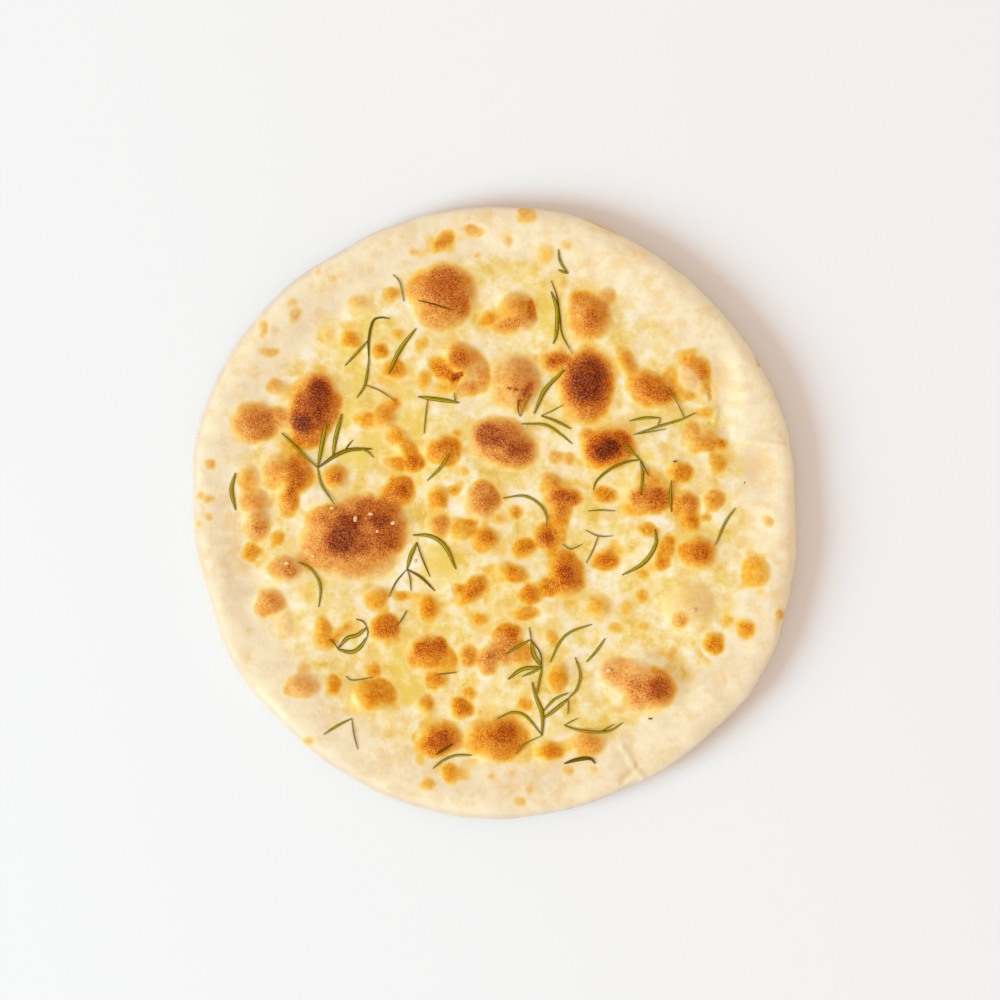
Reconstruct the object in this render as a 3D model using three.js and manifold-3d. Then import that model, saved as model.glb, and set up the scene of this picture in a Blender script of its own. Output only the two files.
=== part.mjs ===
// A round focaccia: one flat loaf with a puffed rim and a blistered top, and the rosemary that lies on it.
// Millimetres, +Z up. The origin is the middle of the flat base.
import * as THREE from "three";
import Module from "manifold-3d";

// Driving dimensions of the loaf
const LOAF_RADIUS = 152;
const MIDDLE_HEIGHT = 10.4;
const RIM_HEIGHT = 12.7;
const RIM_CREST_INSET = 7;
const RIM_FOOT_INSET = 28;
const EDGE_HEIGHT = 7.4;
const BASE_INSET = 6;

// Unevenness of the rim: waves round the loaf, in the rim's height and in how far in its foot lies
const RIM_WAVES = [
  { count: 2, phase: 2, height: 0.5 },
  { count: 5, phase: 0.4, height: 0.4 },
  { count: 9, phase: 1.3, height: 0.3 },
  { count: 14, phase: 4, height: 0.2 },
];
const FOOT_WAVES = [
  { count: 1, phase: 1.2, height: 3 },
  { count: 4, phase: 2.4, height: 2.5 },
];

// Unevenness of the middle: straight waves across the loaf, by direction in degrees and wavelength
const CROSS_WAVES = [
  { direction: 20, length: 95, phase: 0.5, height: 0.5 },
  { direction: 110, length: 70, phase: 2, height: 0.4 },
  { direction: 65, length: 45, phase: 4, height: 0.3 },
];

// How far the outline stands outside the loaf's radius, by angle in degrees
const OUTLINE_DEPARTURES = [
  [0, -1.1],
  [15, 0.2],
  [45, -0.3],
  [60, 0.2],
  [75, 2],
  [90, 1.3],
  [120, 0.2],
  [135, 1.5],
  [150, 2.2],
  [165, 2],
  [180, -0.9],
  [195, -3],
  [210, -0.5],
  [225, -2],
  [239, -1.6],
  [255, 0],
  [270, 1.1],
  [296, 0.5],
  [301, 1.9],
  [315, 2.4],
  [325, 4.9],
  [334, 4.3],
  [341, 2],
  [350, 0.2],
  [360, -1.1],
];

// Blisters are taller the wider they are, between these two heights.
const BLISTER_RISE_PER_SIZE = 0.28;
const BLISTER_LEAST_RISE = 0.8;
const BLISTER_MOST_RISE = 4.6;
const BLISTER_FULLNESS = 1.2;
const BLISTERS = [
  blister(-25.5, 108.5, 16.5, 16),
  blister(-26, 134.5, 6, 3.5, 40),
  blister(-68, 103.5, 5, 4.5),
  blister(-71, 86.5, 5, 4.5),
  blister(-57.5, 81.5, 4, 4),
  blister(10.5, 100.5, 10, 10.5),
  blister(-1, 96.5, 5, 3.5),
  blister(48, 97.5, 9, 12),
  blister(-120.5, 45.5, 11, 11),
  blister(-90.5, 53, 11.5, 18.5, -18),
  blister(-105.5, 49, 5, 5),
  blister(-109, 63, 4.5, 4.5),
  blister(-124, 18, 4, 6),
  blister(-119, 0, 6.5, 12),
  blister(-103.5, 19.5, 11, 10),
  blister(-102, 6.5, 3.5, 6),
  blister(-79, 18, 6, 6.5),
  blister(-17, 74, 10, 11),
  blister(-48, 72.5, 4.5, 4),
  blister(-56, 47, 9, 4.5, -30),
  blister(-45, 33, 8, 4, -52),
  blister(-25.5, 31.5, 7, 6.5),
  blister(-28, 8, 5, 7.5),
  blister(-47, 11, 5.5, 6),
  blister(-5.5, 6, 7, 8.5),
  blister(10.5, 64.5, 12, 13.5),
  blister(32, 75.5, 7, 4.5),
  blister(45.5, 64, 13.5, 17.5, -8),
  blister(56, 32.5, 13, 11),
  blister(4.5, 35, 15.5, 11, -20),
  blister(29, 13, 5, 7, 15),
  blister(35, 8, 7, 5),
  blister(78, 61.5, 12, 8.5, -20),
  blister(65.5, 75, 4, 8, 25),
  blister(100, 69, 8, 10),
  blister(105.5, 36.5, 10.5, 7.5),
  blister(111.5, 24.5, 4, 5),
  blister(91.5, 21, 6, 5.5),
  blister(76, 8.5, 11.5, 9),
  blister(96, 5, 6, 5.5),
  blister(109, 6, 5, 6),
  blister(98, -2.5, 4.5, 5),
  blister(-75, -11, 21, 19, 12),
  blister(-58, -9, 14, 17),
  blister(-104.5, -28, 8, 6),
  blister(-112.5, -44.5, 7.5, 7.5),
  blister(-59, -42, 5, 5),
  blister(-54.5, -57.5, 7, 7.5),
  blister(-84.5, -60, 4, 7),
  blister(-28, -6, 5, 5),
  blister(-16.5, -9, 6, 4.5),
  blister(-4, -13, 6, 6),
  blister(15, -17.5, 5, 4),
  blister(26, -11.5, 4.5, 4.5),
  blister(8.5, -29.5, 7.5, 4, -18),
  blister(36.5, -32, 7.5, 10.5),
  blister(24.5, -36.5, 5, 4),
  blister(18, -40, 4.5, 4.5),
  blister(55.5, -23, 6, 4.5),
  blister(-11, -39, 9, 4, 45),
  blister(-32.5, -48.5, 4.5, 6),
  blister(52.5, -48, 5.5, 6),
  blister(102.5, -20, 8.5, 7.5),
  blister(130.5, -29, 6.5, 8),
  blister(125.5, -56.5, 4, 4.5),
  blister(109.5, -65, 4.5, 4.5),
  blister(-95, -86.5, 7.5, 6),
  blister(-61.5, -91.5, 9.5, 7.5),
  blister(-33, -69, 9, 8),
  blister(-28.5, -84, 5, 3.5),
  blister(6.5, -61, 6.5, 6),
  blister(-2.5, -73, 4.5, 5),
  blister(-17, -98, 5, 5),
  blister(-34.5, -95.5, 5, 5),
  blister(-28, -113, 10, 7.5, 20),
  blister(0, -113, 14, 10.5),
  blister(26.5, -118.5, 7, 5),
  blister(47.5, -114.5, 8.5, 5.5),
  blister(32, -81, 4.5, 7),
  blister(-21.5, -130, 4.5, 4),
  blister(79, -88, 8.5, 10),
];

// Broad swells of the dough, and the sunken flap at the right of the rim
const SWELLS = [
  swell(75, -84, 24, 21, 3.8),
  swell(98, -48, 15, 14, 2.2),
  swell(139, 18, 17, 19, -2.2),
  swell(-104, -92, 34, 30, 1.6),
  swell(98, 98, 30, 34, 1.2),
];

// Ridges and creases where the dough is folded over near the rim
const FOLDS = [
  fold([124, 72], [127, 38], 1.5, 4),
  fold([116, 74], [117, 54], -1.2, 4),
  fold([125, 36], [149, 33], 0.9, 3),
  fold([65, -116], [77, -135], -1.4, 2.5),
];

// Triangle grid of the top, and rows of the side from the rim's crest to the base
const TOP_RINGS = 31;
const RING_CORNERS = 6;
const SIDE_ROW_ANGLES = [62, 36, 12, -20, -55, -90];

// Rosemary needles: widths, thickness and how they lie
const SLIM = 1.3;
const MIDDLING = 1.9;
const BROAD = 2.7;
const NEEDLE_THICKNESS = 0.9;
const NEEDLE_STEP = 3.4;
const NEEDLE_LEAST_STEPS = 3;
const NEEDLE_TIP_SHARE = 0.35;
const NEEDLE_FULLNESS = 0.5;
const NEEDLE_SIDES = 4;
const NEEDLE_GAP = 0.3;
const NEEDLE_FOOTPRINT = 2.2;
const FOOTPRINT_SPOKES = 8;
const PROBE_HEIGHT = 60;

// Each sprig is the needles that hang together, and each needle has a width and the points that it passes
const SPRIGS = [
  [
    [MIDDLING, [32, 131.5], [33, 125.5], [37, 119.5]],
    [MIDDLING, [32, 121.5], [34, 120.5], [37, 119.5]],
  ],
  [
    [SLIM, [28.5, 116], [31.5, 107.5], [33, 97.5], [34, 89], [39, 79.5]],
    [BROAD, [28.5, 110.5], [31.5, 101.5], [31, 89], [29.5, 84.5]],
  ],
  [[SLIM, [-50.5, 119], [-47, 115], [-45, 105.5]]],
  [[SLIM, [-38, 106], [-29.5, 103.7], [-21, 101]]],
  [
    [MIDDLING, [-52, 97], [-57, 97.5], [-60.5, 95.5], [-62.5, 86.5], [-62.5, 76]],
    [MIDDLING, [-62.5, 78], [-62.8, 74], [-64.5, 64], [-68.5, 57.5]],
    [MIDDLING, [-62.5, 86.5], [-68.5, 80], [-74.5, 73.5]],
    [SLIM, [-64.5, 64], [-57, 61], [-49.5, 56]],
  ],
  [[BROAD, [-39, 92], [-47, 81.5], [-52.5, 69.5]]],
  [
    [BROAD, [-38, 58], [-27, 56.5], [-17.5, 55]],
    [SLIM, [-20, 60], [-19.5, 57.5], [-19.5, 55.3]],
    [SLIM, [-33, 57.5], [-34, 50], [-35, 39.5]],
  ],
  [
    [SLIM, [12, 56.5], [12, 52], [13, 48]],
    [SLIM, [18.5, 59.5], [15, 53], [13, 48]],
  ],
  [[BROAD, [35, 71.5], [25.5, 61.5], [20, 49.5]]],
  [
    [MIDDLING, [23.5, 48.5], [30.5, 46], [38.5, 42]],
    [SLIM, [23.5, 48.5], [29, 51], [34.5, 54]],
  ],
  [[MIDDLING, [13.5, 44.5], [25.5, 44], [33, 39.5], [39, 34.5]]],
  [
    [MIDDLING, [69.5, 39], [83, 43.5], [93, 46.5], [100.5, 50]],
    [MIDDLING, [67.5, 46], [75.5, 47.5], [83, 47.5]],
    [SLIM, [81.5, 43], [82.5, 45.5], [83, 47.5]],
    [SLIM, [71, 39.3], [78, 40.5], [86, 42]],
    [SLIM, [87, 63], [91, 56], [95, 47.4]],
  ],
  [
    [MIDDLING, [64.5, 35], [69, 30.5], [73, 26.5]],
    [MIDDLING, [73, 26.5], [66, 25.5], [58, 22], [51.5, 16.5], [49.5, 11.5]],
    [MIDDLING, [73, 26.5], [74, 19], [73, 9]],
    [SLIM, [73, 26.5], [75, 23], [77, 18.5]],
  ],
  [[MIDDLING, [88.5, 16.5], [88, 8.5], [88.5, 0.5]]],
  [[MIDDLING, [120.5, 2.5], [115.5, -4.5], [110.5, -16]]],
  [[BROAD, [80.5, -8], [80.5, -16], [74.5, -25], [64, -31]]],
  [
    [SLIM, [45.5, -8.5], [52, -11.5], [59.5, -11.5]],
    [SLIM, [52, -11.5], [49.5, -18], [46, -25]],
  ],
  [[SLIM, [34, -15.5], [38.5, -18], [44, -15.5]]],
  [[SLIM, [46.5, 1], [53.5, 1.4], [60.5, 1]]],
  [[MIDDLING, [4.5, 7.5], [15, 8.5], [22.5, 4.5], [26, -1], [26.5, -7]]],
  [[MIDDLING, [-33.5, 16], [-27, 22.5], [-22, 30]]],
  [
    [MIDDLING, [-106, 40], [-97, 31], [-88, 22.5]],
    [BROAD, [-83.5, 46], [-86, 34], [-88, 22.5]],
    [BROAD, [-88, 22.5], [-79.5, 28.5], [-72, 31.5], [-61, 32]],
    [MIDDLING, [-88, 22.5], [-86, 14], [-79.5, 4.5]],
    [BROAD, [-76, 49.5], [-79, 38], [-80.5, 28]],
    [SLIM, [-70.5, 36.5], [-73, 33.5], [-75, 30.5]],
    [SLIM, [-67, 32], [-63, 30.5], [-60, 27.5]],
  ],
  [[BROAD, [-129, 20], [-131, 11.5], [-129, 1.5]]],
  [[BROAD, [-40.5, -11], [-32, -11.5], [-24.5, -16.5], [-19, -28]]],
  [
    [BROAD, [-38.5, -14.5], [-41.5, -21], [-43.5, -28]],
    [SLIM, [-43.5, -28], [-49, -34.5], [-52.5, -42]],
    [MIDDLING, [-43.5, -28], [-36, -32.5], [-29.5, -39]],
    [SLIM, [-43.5, -28], [-42, -32.5], [-41.5, -39]],
    [SLIM, [-38.5, -14.5], [-36.5, -21], [-32, -32]],
  ],
  [[MIDDLING, [-98, -24.5], [-92.5, -27], [-88, -32.5], [-86.5, -38.5], [-87.5, -47]]],
  [
    [BROAD, [-78, -68], [-72, -69.5], [-67.5, -67.5], [-63.5, -62]],
    [BROAD, [-78, -68], [-73.5, -62.5], [-68.5, -61], [-63.5, -57]],
    [SLIM, [-69, -53], [-65.5, -54], [-63.5, -57]],
    [SLIM, [-63.5, -57], [-63, -59.5], [-63.5, -62]],
    [SLIM, [-78, -68], [-79.5, -65], [-82, -63]],
  ],
  [[SLIM, [-43.5, -48.5], [-46, -53], [-48.5, -56.5]]],
  [[SLIM, [-74, -81.5], [-70.5, -83.5], [-60.5, -82]]],
  [
    [MIDDLING, [-85, -110.5], [-78, -106], [-71, -102.5]],
    [SLIM, [-71, -102.5], [-70, -110], [-68, -118]],
  ],
  [[SLIM, [-28.5, -80.5], [-23.5, -80.2], [-18.5, -79.5]]],
  [[MIDDLING, [-29, -120.5], [-25, -118], [-20.5, -115]]],
  [[MIDDLING, [-30.5, -127.5], [-25.5, -123.5], [-19, -121], [-11, -121]]],
  [
    [MIDDLING, [24, -77], [22.5, -84], [21, -92]],
    [BROAD, [7, -83], [14, -78], [24, -77]],
    [MIDDLING, [14, -81.5], [19, -79.5], [24, -77]],
    [BROAD, [24, -77], [20, -71], [18.5, -63]],
    [SLIM, [24, -77], [23, -70], [18.5, -63]],
    [MIDDLING, [6, -70.5], [12, -66.5], [18.5, -63]],
    [SLIM, [17.5, -57], [18, -60], [18.5, -63]],
    [BROAD, [19, -84.5], [21, -92], [24, -100], [24, -111]],
    [MIDDLING, [24, -99.5], [30, -93], [37, -89.8]],
    [BROAD, [24.5, -102.5], [30.5, -98], [37, -92.5]],
    [MIDDLING, [37, -92.5], [41.5, -87.5], [43, -80], [40.5, -72]],
    [SLIM, [37, -92.5], [37, -97], [36.8, -100.5]],
    [MIDDLING, [1.5, -102.5], [9, -99.5], [16, -101.5], [24, -111]],
    [SLIM, [11, -120.5], [15, -115.5], [24, -111]],
  ],
  [[MIDDLING, [28, -74.5], [32.5, -65], [38, -59.5], [49, -55.5]]],
  [[MIDDLING, [46, -74.5], [51, -69], [55.5, -62.5]]],
  [
    [SLIM, [35, -106], [38.5, -104], [42, -102.5]],
    [MIDDLING, [35, -106], [43, -108.5], [56.5, -109], [64.5, -104.5]],
    [SLIM, [54, -108.8], [57, -107], [60, -105.5]],
  ],
  [[BROAD, [35, -125], [41.5, -123], [48, -122.5], [50.5, -125]]],
];

const CRUST = { color: 0xf0cf8f, roughness: 0.6, metalness: 0 };
const ROSEMARY = { color: 0x6e7828, roughness: 0.5, metalness: 0 };
const FULL_TURN = 2 * Math.PI;
const UP = new THREE.Vector3(0, 0, 1);

const { smoothstep, lerp, clamp, degToRad, radToDeg, euclideanModulo } = THREE.MathUtils;
const total = (values) => values.reduce((sum, value) => sum + value, 0);

function blister(x, y, halfWidth, halfLength, turn = 0) {
  return { x, y, halfWidth, halfLength, turn };
}

function swell(x, y, halfWidth, halfLength, rise) {
  return { x, y, halfWidth, halfLength, turn: 0, rise };
}

function fold(from, to, rise, reach) {
  const line = new THREE.Line3(new THREE.Vector3(...from, 0), new THREE.Vector3(...to, 0));
  return { line, rise, reach };
}

// Radius of the outline at an angle, passing smoothly from one stated departure to the next
function outlineRadius(angle) {
  const degrees = radToDeg(euclideanModulo(angle, FULL_TURN));
  const next = OUTLINE_DEPARTURES.findIndex(([at]) => at > degrees);
  const [fromAngle, from] = OUTLINE_DEPARTURES[next - 1];
  const [toAngle, to] = OUTLINE_DEPARTURES[next];
  return LOAF_RADIUS + lerp(from, to, smoothstep(degrees, fromAngle, toAngle));
}

function ringWave(waves, angle) {
  const heights = waves.map(({ count, phase, height }) => height * Math.cos(count * angle + phase));
  return total(heights);
}

function crossWave(x, y) {
  const heights = CROSS_WAVES.map(({ direction, length, phase, height }) => {
    const along = x * Math.cos(degToRad(direction)) + y * Math.sin(degToRad(direction));
    return height * Math.cos((FULL_TURN * along) / length + phase);
  });
  return total(heights);
}

// Distance from the middle of an oval in shares of its half sizes: 1 is its edge
function ovalDistance(oval, x, y) {
  const turn = degToRad(oval.turn);
  const alongX = (x - oval.x) * Math.cos(turn) + (y - oval.y) * Math.sin(turn);
  const alongY = (y - oval.y) * Math.cos(turn) - (x - oval.x) * Math.sin(turn);
  return Math.hypot(alongX / oval.halfWidth, alongY / oval.halfLength);
}

function blisterRise({ halfWidth, halfLength }) {
  const size = Math.sqrt(halfWidth * halfLength);
  return clamp(size * BLISTER_RISE_PER_SIZE, BLISTER_LEAST_RISE, BLISTER_MOST_RISE);
}

// Height of the tallest blister over a point
function blisterHeight(x, y) {
  const heights = BLISTERS.map((oval) => {
    const inside = Math.max(0, 1 - ovalDistance(oval, x, y) ** 2);
    return blisterRise(oval) * inside ** BLISTER_FULLNESS;
  });
  return Math.max(...heights);
}

function swellHeight(x, y) {
  return total(SWELLS.map((oval) => oval.rise * smoothstep(1 - ovalDistance(oval, x, y), 0, 1)));
}

function foldHeight(x, y) {
  const point = new THREE.Vector3(x, y, 0);
  const heights = FOLDS.map(({ line, rise, reach }) => {
    const nearest = line.closestPointToPoint(point, true, new THREE.Vector3());
    return rise * Math.exp(-((nearest.distanceTo(point) / reach) ** 2));
  });
  return total(heights);
}

// Height of the top between the rim's crest and the middle of the loaf
function topHeight(x, y) {
  const angle = Math.atan2(y, x);
  const inset = outlineRadius(angle) - Math.hypot(x, y);
  const rim = RIM_HEIGHT + ringWave(RIM_WAVES, angle);
  const foot = RIM_FOOT_INSET + ringWave(FOOT_WAVES, angle);
  const middle = MIDDLE_HEIGHT + crossWave(x, y);
  const plain = lerp(rim, middle, smoothstep(inset, RIM_CREST_INSET, foot));
  return plain + blisterHeight(x, y) + swellHeight(x, y) + foldHeight(x, y);
}

// A point of the side: the row's angle is 90 at the rim's crest, 0 at the outline and -90 at the base
function sidePoint(angle, rowAngle) {
  const outline = outlineRadius(angle);
  const crest = outline - RIM_CREST_INSET;
  const crestHeight = topHeight(crest * Math.cos(angle), crest * Math.sin(angle));
  const tuck = rowAngle > 0 ? RIM_CREST_INSET : BASE_INSET;
  const reach = rowAngle > 0 ? crestHeight - EDGE_HEIGHT : EDGE_HEIGHT;
  const radius = outline - tuck * (1 - Math.cos(degToRad(rowAngle)));
  const height = EDGE_HEIGHT + reach * Math.sin(degToRad(rowAngle));
  return new THREE.Vector3(radius * Math.cos(angle), radius * Math.sin(angle), height);
}

// The loaf: rings of triangles over the top, rows down the side, and a flat base
function loafGeometry() {
  const points = [new THREE.Vector3(0, 0, topHeight(0, 0))];
  const triangles = [];
  const rim = TOP_RINGS * RING_CORNERS;
  const ringStart = (ring) => (ring === 0 ? 0 : 1 + (RING_CORNERS * ring * (ring - 1)) / 2);
  const onRing = (ring, place) => ringStart(ring) + (ring === 0 ? 0 : place % (ring * RING_CORNERS));

  for (let ring = 1; ring <= TOP_RINGS; ring++) {
    const count = ring * RING_CORNERS;
    for (let place = 0; place < count; place++) {
      const angle = (FULL_TURN * place) / count;
      const radius = ((outlineRadius(angle) - RIM_CREST_INSET) * ring) / TOP_RINGS;
      const x = radius * Math.cos(angle);
      const y = radius * Math.sin(angle);
      points.push(new THREE.Vector3(x, y, topHeight(x, y)));
    }
    for (let corner = 0; corner < RING_CORNERS; corner++) {
      for (let step = 0; step < ring; step++) {
        const outer = corner * ring + step;
        const inner = corner * (ring - 1) + step;
        triangles.push(onRing(ring, outer), onRing(ring, outer + 1), onRing(ring - 1, inner));
        if (step < ring - 1) {
          triangles.push(onRing(ring - 1, inner), onRing(ring, outer + 1), onRing(ring - 1, inner + 1));
        }
      }
    }
  }

  let upper = ringStart(TOP_RINGS);
  for (const rowAngle of SIDE_ROW_ANGLES) {
    const lower = points.length;
    for (let place = 0; place < rim; place++) {
      const next = (place + 1) % rim;
      points.push(sidePoint((FULL_TURN * place) / rim, rowAngle));
      triangles.push(upper + place, lower + place, upper + next);
      triangles.push(upper + next, lower + place, lower + next);
    }
    upper = lower;
  }

  const baseMiddle = points.length;
  points.push(new THREE.Vector3(0, 0, 0));
  for (let place = 0; place < rim; place++) {
    triangles.push(upper + place, baseMiddle, upper + ((place + 1) % rim));
  }
  return indexedGeometry(points, triangles);
}

function indexedGeometry(points, triangles) {
  const geometry = new THREE.BufferGeometry().setFromPoints(points);
  geometry.setIndex(triangles);
  geometry.computeVertexNormals();
  return geometry;
}

// Height at which the middle of a needle lies over a point: the crust's highest spot under its footprint
function restingHeight(loaf, place) {
  const probe = new THREE.Raycaster();
  const heights = [];
  for (let spoke = 0; spoke <= FOOTPRINT_SPOKES; spoke++) {
    const angle = (FULL_TURN * spoke) / FOOTPRINT_SPOKES;
    const reach = spoke === FOOTPRINT_SPOKES ? 0 : NEEDLE_FOOTPRINT;
    const aside = new THREE.Vector3(reach * Math.cos(angle), reach * Math.sin(angle), PROBE_HEIGHT);
    probe.set(aside.add(place), UP.clone().negate());
    heights.push(probe.intersectObject(loaf)[0].point.z);
  }
  return Math.max(...heights) + NEEDLE_GAP + NEEDLE_THICKNESS / 2;
}

// One needle: a flat four-sided section drawn along its path, widest in the middle and narrow at both ends
function needleGeometry(loaf, width, path) {
  const places = path.map(([x, y]) => new THREE.Vector3(x, y, 0));
  const curve = new THREE.CatmullRomCurve3(places, false, "centripetal");
  const steps = Math.max(NEEDLE_LEAST_STEPS, Math.round(curve.getLength() / NEEDLE_STEP));
  const points = [];
  const triangles = [];
  for (let step = 0; step <= steps; step++) {
    const along = step / steps;
    const middle = curve.getPointAt(along);
    const sideways = curve.getTangentAt(along).cross(UP);
    const share = Math.max(NEEDLE_TIP_SHARE, Math.sin(Math.PI * along) ** NEEDLE_FULLNESS);
    middle.z = restingHeight(loaf, middle);
    const behind = points.length - NEEDLE_SIDES;
    const here = points.length;
    for (let side = 0; side < NEEDLE_SIDES; side++) {
      const angle = (FULL_TURN * side) / NEEDLE_SIDES;
      const next = (side + 1) % NEEDLE_SIDES;
      const corner = middle.clone();
      corner.addScaledVector(sideways, (share * width * Math.cos(angle)) / 2);
      corner.addScaledVector(UP, (share * NEEDLE_THICKNESS * Math.sin(angle)) / 2);
      points.push(corner);
      if (step > 0) {
        triangles.push(behind + side, here + side, here + next);
        triangles.push(behind + side, here + next, behind + next);
      }
    }
  }
  const last = points.length - NEEDLE_SIDES;
  for (let side = 1; side < NEEDLE_SIDES - 1; side++) {
    triangles.push(0, side, side + 1);
    triangles.push(last, last + side + 1, last + side);
  }
  return indexedGeometry(points, triangles);
}

const wasm = await Module();
wasm.setup();

function solidOf(geometry) {
  const vertProperties = geometry.getAttribute("position").array;
  const triVerts = new Uint32Array(geometry.index.array);
  return new wasm.Manifold(new wasm.Mesh({ numProp: 3, vertProperties, triVerts }));
}

// A sprig's needles joined into one closed body
function sprigGeometry(loaf, needles) {
  const solids = needles.map(([width, ...path]) => solidOf(needleGeometry(loaf, width, path)));
  const joined = solids.reduce((sum, solid) => sum.add(solid)).getMesh();
  const geometry = new THREE.BufferGeometry();
  geometry.setAttribute("position", new THREE.BufferAttribute(joined.vertProperties, joined.numProp));
  geometry.setIndex(new THREE.BufferAttribute(joined.triVerts, 1));
  geometry.computeVertexNormals();
  return geometry;
}

function piece(name, geometry, finish) {
  const mesh = new THREE.Mesh(geometry, new THREE.MeshStandardMaterial(finish));
  mesh.name = name;
  return mesh;
}

const focaccia = new THREE.Group();
const loaf = piece("loaf", loafGeometry(), CRUST);
focaccia.add(loaf);
SPRIGS.forEach((needles, index) => {
  const name = `rosemary_${String(index + 1).padStart(2, "0")}`;
  focaccia.add(piece(name, sprigGeometry(loaf, needles), ROSEMARY));
});

export default focaccia;
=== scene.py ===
"""Looks of a round rosemary focaccia, dressed over its solids in their own frame, in metres with +Z up."""

import logging
import math
import random
from collections.abc import Iterable, Mapping, Sequence
from dataclasses import dataclass
from enum import Enum
from typing import Any

import bmesh
import bpy
import numpy as np
from mathutils import Matrix, Vector, noise
from mathutils.bvhtree import BVHTree


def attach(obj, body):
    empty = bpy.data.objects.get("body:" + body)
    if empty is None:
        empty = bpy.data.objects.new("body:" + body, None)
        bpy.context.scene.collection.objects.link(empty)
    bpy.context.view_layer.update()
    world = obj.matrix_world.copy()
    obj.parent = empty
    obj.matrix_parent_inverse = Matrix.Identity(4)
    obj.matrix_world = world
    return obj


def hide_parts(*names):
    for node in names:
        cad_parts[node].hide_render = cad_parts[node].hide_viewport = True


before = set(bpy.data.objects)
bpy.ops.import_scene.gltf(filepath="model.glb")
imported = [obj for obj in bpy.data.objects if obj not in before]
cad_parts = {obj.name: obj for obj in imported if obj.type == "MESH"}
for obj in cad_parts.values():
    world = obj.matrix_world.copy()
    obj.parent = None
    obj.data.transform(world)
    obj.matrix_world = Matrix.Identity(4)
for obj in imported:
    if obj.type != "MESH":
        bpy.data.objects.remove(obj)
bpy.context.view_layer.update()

log = logging.getLogger("focaccia")

MM = 0.001
BODY = "root"
LOAF_NODE = "loaf"
WHITE_LEVEL = 255.0
STUDIO_LEVEL = 1.14
SRGB_KNEE = 0.04045
SRGB_SLOPE = 12.92
SRGB_OFFSET = 0.055
SRGB_POWER = 2.4
HALF = 0.5
PLAN = (1.0, 1.0, 0.0)

Colour = tuple[float, float, float, float]
Stops = tuple[tuple[float, Colour], ...]
Span = tuple[float, float]


def linear_share(share: float) -> float:
    """Turns a share of full brightness as a screen shows it into a linear one."""
    if share <= SRGB_KNEE:
        return share / SRGB_SLOPE
    return ((share + SRGB_OFFSET) / (1.0 + SRGB_OFFSET)) ** SRGB_POWER


def paint(red: float, green: float, blue: float) -> Colour:
    """Turns a colour as the camera sees it in the studio light into the surface's own linear colour.

    Args:
        red: Red as seen, from 0 to 255.
        green: Green as seen, from 0 to 255.
        blue: Blue as seen, from 0 to 255.

    Returns:
        The linear colour with full opacity.
    """
    levels = (red, green, blue)
    return (*(linear_share(level / WHITE_LEVEL) / STUDIO_LEVEL for level in levels), 1.0)


def smoothstep(value: np.ndarray, start: float, end: float | np.ndarray) -> np.ndarray:
    """Rises smoothly from 0 at start to 1 at end."""
    share = np.clip((value - start) / (end - start), 0.0, 1.0)
    return share * share * (3.0 - 2.0 * share)


class Socket:
    """An output of a shader node that takes part in Python expressions on values."""

    def __init__(self, shader: "Shader", output: bpy.types.NodeSocket) -> None:
        """Keeps the node tree and the output."""
        self.shader = shader
        self.output = output

    def __add__(self, other: "Socket | float") -> "Socket":
        """Adds a value."""
        return self.shader.maths("ADD", self, other)

    def __radd__(self, other: float) -> "Socket":
        """Adds to a number."""
        return self.shader.maths("ADD", other, self)

    def __sub__(self, other: "Socket | float") -> "Socket":
        """Takes a value away."""
        return self.shader.maths("SUBTRACT", self, other)

    def __rsub__(self, other: float) -> "Socket":
        """Is taken away from a number."""
        return self.shader.maths("SUBTRACT", other, self)

    def __mul__(self, other: "Socket | float") -> "Socket":
        """Multiplies by a value."""
        return self.shader.maths("MULTIPLY", self, other)

    def __rmul__(self, other: float) -> "Socket":
        """Multiplies a number."""
        return self.shader.maths("MULTIPLY", other, self)

    def size(self) -> "Socket":
        """Drops the sign."""
        return self.shader.maths("ABSOLUTE", self, 0.0)

    def top(self, other: "Socket | float") -> "Socket":
        """Keeps the larger of two values."""
        return self.shader.maths("MAXIMUM", self, other)

    def centred(self) -> "Socket":
        """Shifts a value from 0 to 1 so that it lies round 0."""
        return self - HALF

    def from_signed(self) -> "Socket":
        """Maps a value from -1 to 1 onto 0 to 1."""
        return self * HALF + HALF

    def between(self, start: float, end: float, share: float) -> "Socket":
        """Rises smoothly from 0 at start to a share at end, or falls where end is the smaller."""
        low, high, at_low, at_high = (start, end, 0.0, share) if start < end else (end, start, share, 0.0)
        sockets = {"Value": self, "From Min": low, "From Max": high, "To Min": at_low, "To Max": at_high}
        return self.shader.node("MapRange", {"interpolation_type": "SMOOTHSTEP"}, sockets, "Result")


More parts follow.
